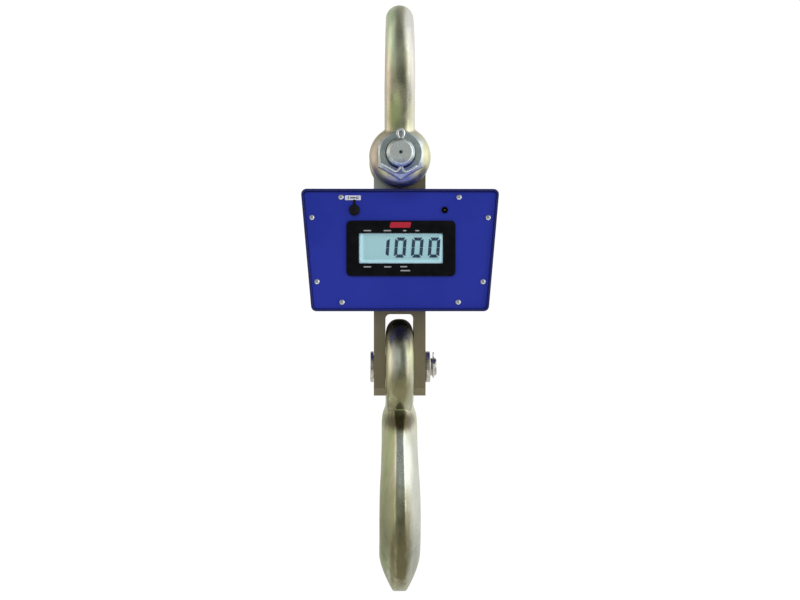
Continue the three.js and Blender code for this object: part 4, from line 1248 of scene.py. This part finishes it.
def hook_section(inner, outer, half_width, flat):
    """One closed section: a crowned inner side, flanks that draw in, and a narrow outer flat."""
    crown = [(0, 0.0), (0, 0.35), (0.012, 0.53), (0.035, 0.7), (0.065, 0.83), (0.11, 0.93), (0.155, 0.98)]
    half = [(depth, width * half_width) for depth, width in crown + [(0.2, 1)]]
    for k in range(1, 15):
        share = (k / 14) ** 1.6
        half.append((0.2 + 0.8 * k / 14, half_width * (1 - share) + flat * share))
    half.append((1, 0.0))
    points = []
    for depth, x in half + [(depth, -x) for depth, x in reversed(half[1:-1])]:
        y = inner.x + (outer.x - inner.x) * depth
        z = inner.y + (outer.y - inner.y) * depth
        points.append(Vector((x, y, z + PIN_Z)))
    return points


def hook_piece():
    """The lofted hook, its squarish eye ring and the latch's boss, in one forging."""
    count = 110
    inner = spline([(*a, 0) for a, _, _, _ in HOOK_STATIONS], count)
    outer = spline([(*b, 0) for _, b, _, _ in HOOK_STATIONS], count)
    sizes = spline([(w, flat, 20 * i) for i, (_, _, w, flat) in enumerate(HOOK_STATIONS)], count)
    body = lofted([hook_section(a, b, s.x, s.y) for a, b, s in zip(inner, outer, sizes)])

    middle, half_depth, half_width, squareness = 42, 23.5, 18.1, 0.8
    ring = []
    for k in range(40):
        angle = 2 * math.pi * k / 40
        cos, sin = math.cos(angle), math.sin(angle)
        deep = math.copysign(abs(cos) ** squareness, cos) * half_depth
        wide = math.copysign(abs(sin) ** squareness, sin) * half_width
        ring.append((middle + deep, wide))
    eye = revolved(ring, X_AXIS, (0, 0, PIN_Z - 2.7), 120)
    boss = revolved([(0, -6), (7.4, -6), (8, -5.4), (8, 5.4), (7.4, 6), (0, 6)], X_AXIS, RIVET_AT, 40)
    hook = forged(mesh_object("hook_forging", body, eye, boss), voxel=1.4, smoothing=9)
    relaxed(hook, low=-504, high=-476, front=-24, passes=40)
    combine(hook, [rod(RIVET_HOLE, -30, 30, X_AXIS, RIVET_AT, 32)])
    smooth_shading(hook, 50)
    finish_piece(hook, "yellow_zinc", "hook_assembly", ["hook"], HOOK_ZINC)


def latch_shape(points, faces):
    """Turns a shape drawn along +Y from the rivet to the latch's closed position."""
    cos, sin = polar(1, LATCH["angle"])
    _, y, z = RIVET_AT
    return [Vector((a, y + b * cos - c * sin, z + b * sin + c * cos)) for a, b, c in points], faces


def latch_pieces():
    """Two ears and a web folded from one sheet, with a tongue that slants towards its end, and the rivet."""
    half, sheet, length = LATCH["half_width"], LATCH["sheet"], LATCH["length"]
    back = 8
    corners = [(-6.4, -6.4), (8, -6.4), (20, -1), (30, 5.6), (30, back), (-6.4, back)]
    ear = rounded_outline(corners, [6, 5, 6, 1, 1, 6], 8)
    latch = mesh_object("hook_latch_folded", latch_shape(*prism(ear, along_x, -half, -half + sheet)))
    web = prism([(-half, 10), (half, 10), (half, 34), (-half, 34)], along_z, back - sheet, back)
    profile = [(33, back - sheet), (length, -1.4), (length, 1), (33, back)]
    tongue = prism(profile, along_x, -half + 1, half - 1)
    other_ear = prism(ear, along_x, half - sheet, half)
    combine(latch, [latch_shape(*shape) for shape in (other_ear, web, tongue)], "UNION")
    combine(latch, [rod(RIVET_HOLE, -30, 30, X_AXIS, RIVET_AT, 32)])
    softened(latch, 0.5, 2, 35)
    finish_piece(latch, "blue_zinc", "latch", ["hook_latch"], PRESSED_ZINC)

    seat = half + 0.3
    head = [(0, -seat - 2), (2.4, -seat - 1.9), (3.9, -seat - 1.2), (4.8, -seat), (2.9, -seat)]
    profile = head + [(r, -h) for r, h in reversed(head)]
    rivet = smooth_shading(mesh_object("latch_rivet_headed", revolved(profile, X_AXIS, RIVET_AT, 32)), 35)
    finish_piece(rivet, "steel", "hook_assembly", ["latch_rivet"])


def latch_spring_piece():
    """Three turns round the rivet, one leg on the neck and one under the latch."""
    coil, turns, first = 4.6, 3, 20

    def place(radius, degrees, x):
        y, z = polar(radius, degrees)
        return (x, RIVET_AT[1] + y, RIVET_AT[2] + z)

    points = [place(14.5, first - 60, 7.2)]
    points += [place(coil, first + 20 * k, 7.4 + 4 * k / (turns * 18)) for k in range(turns * 18 + 1)]
    points.append(place(10, first + 58, 11.5))
    spring = smooth_shading(mesh_object("latch_spring_coiled", swept(spline(points, 240), 0.6, 10)), 60)
    finish_piece(spring, "steel", "hook_assembly", ["latch_spring"])


# ------------------------------------------------------------------ CAD nodes that stay


def dress_cad_nodes():
    """Carried-over CAD nodes get their slot's material and slightly rounded edges."""
    slots = {entry["node"]: entry["material_slot"] for entry in frame["record"]["subparts"]}
    for name, node in frame["nodes"].items():
        if node.hide_render:
            continue
        node.data.materials.clear()
        node.data.materials.append(MATERIALS[slots[name]])
        weld = node.modifiers.new("weld", "WELD")
        weld.merge_threshold = 1e-6
        softened(node, 0.25, 2, 40)


# ------------------------------------------------------------------ floor, light, camera


def make_floor():
    """A pale round floor, well below a scale that hangs from a crane."""
    radius, floor_z, rings, sides = 6500, -3000, 12, 64
    points, faces = [(0, 0, floor_z)], []
    for ring in range(1, rings + 1):
        for k in range(sides):
            angle = 2 * math.pi * k / sides
            reach = radius * ring / rings
            points.append((reach * math.cos(angle), reach * math.sin(angle), floor_z))
    for k in range(sides):
        after = (k + 1) % sides
        faces.append((0, 1 + k, 1 + after))
        for ring in range(rings - 1):
            start = 1 + ring * sides
            faces.append((start + k, start + sides + k, start + sides + after, start + after))
    floor = mesh_object("studio_floor", (points, faces))
    f = Finish("studio_floor", (0.86, 0.86, 0.85), roughness=0.9, specular=0.1)
    f.shader.inputs["Emission Color"].default_value = (1, 1, 0.99, 1)
    f.shader.inputs["Emission Strength"].default_value = 0.3
    f.paint(f.clouded(f.noise(2, 3), (0.88, 0.88, 0.87), (0.84, 0.84, 0.835), 0.3))
    floor.data.materials.append(f.material)


def make_world():
    """White behind the scale. Reflections see a soft studio: dark ahead, bright to the right."""
    world = bpy.data.worlds.new("studio")
    bpy.context.scene.world = world
    world.use_nodes = True
    n = Nodes(world.node_tree)

    def spread(value, stops):
        """The studio's brightness along one direction, from the first stop to the last."""
        low, high = stops[0][0], stops[-1][0]
        shares = [((position - low) / (high - low), color) for position, color in stops]
        return n.ramp(n.between(value, 0.0, 1.0, low, high), shares, "EASE")

    direction = n.split(n.node("ShaderNodeTexCoord").outputs["Generated"])
    ahead = n.calculate("MULTIPLY", direction["Y"], -1.0)
    bearing = n.calculate("ARCTAN2", direction["X"], ahead)
    degrees = n.calculate("MULTIPLY", bearing, 180 / math.pi)
    around = spread(degrees, ROUND_THE_SCALE)
    upwards = spread(direction["Z"], [(height, (grey,) * 3) for height, grey in FROM_FLOOR_TO_CEILING])
    studio = n.mix(1.0, around, upwards, "MULTIPLY")
    seen = n.node("ShaderNodeLightPath").outputs["Is Camera Ray"]
    background = n.tree.nodes["Background"]
    n.link(n.mix(seen, studio, (1.04, 1.04, 1.04)), background.inputs["Color"])
    background.inputs["Strength"].default_value = 1.0


def area_light(name, location, target, size, power):
    data = bpy.data.lights.new(name, "AREA")
    data.shape = "RECTANGLE"
    data.size, data.size_y = size
    data.energy = power
    light = bpy.data.objects.new(name, data)
    bpy.context.scene.collection.objects.link(light)
    light.location = location
    light.rotation_mode = "QUATERNION"
    light.rotation_quaternion = (Vector(target) - Vector(location)).to_track_quat("-Z", "Y")
    return light


def make_lights():
    middle = (0, 0, -0.35)
    key = area_light("key", (-0.4, -2.4, 1.3), middle, (1.8, 1.2), 42)
    key.visible_glossy = False
    area_light("right_strip", (1.7, -0.9, -0.1), middle, (0.6, 2.2), 4)


def make_camera():
    distance, yaw, height, lens = 2.0, 1.0, -0.3486, 68.7
    data = bpy.data.cameras.new("camera")
    data.lens = lens
    data.sensor_width = 36
    data.clip_start, data.clip_end = 0.05, 60
    camera = bpy.data.objects.new("camera", data)
    bpy.context.scene.collection.objects.link(camera)
    angle = math.radians(yaw)
    right = Vector((math.cos(angle), -math.sin(angle), 0))
    aim = Vector((0, 0, height)) + right * 0.0008
    camera.location = aim - Vector((math.sin(angle), math.cos(angle), 0)) * distance
    camera.rotation_mode = "QUATERNION"
    camera.rotation_quaternion = (aim - camera.location).to_track_quat("-Z", "Y")
    bpy.context.scene.camera = camera


bpy.context.scene.view_settings.view_transform = "Standard"

make_camera()
make_world()
make_lights()
make_floor()

shackle_bow_piece()
shackle_bolt_piece()
shackle_nut_piece()
shackle_split_pin_piece()
load_bar_piece()
housing_shell_piece()
front_cover_piece()
cover_screw_pieces()
display_bezel_piece()
display_cell_pieces()
bezel_marks()
display_lens_piece()
switch_pieces()
switch_plate_piece()
charging_jack_piece()
hook_pin_pieces()
hook_piece()
latch_pieces()
latch_spring_piece()
dress_cad_nodes()
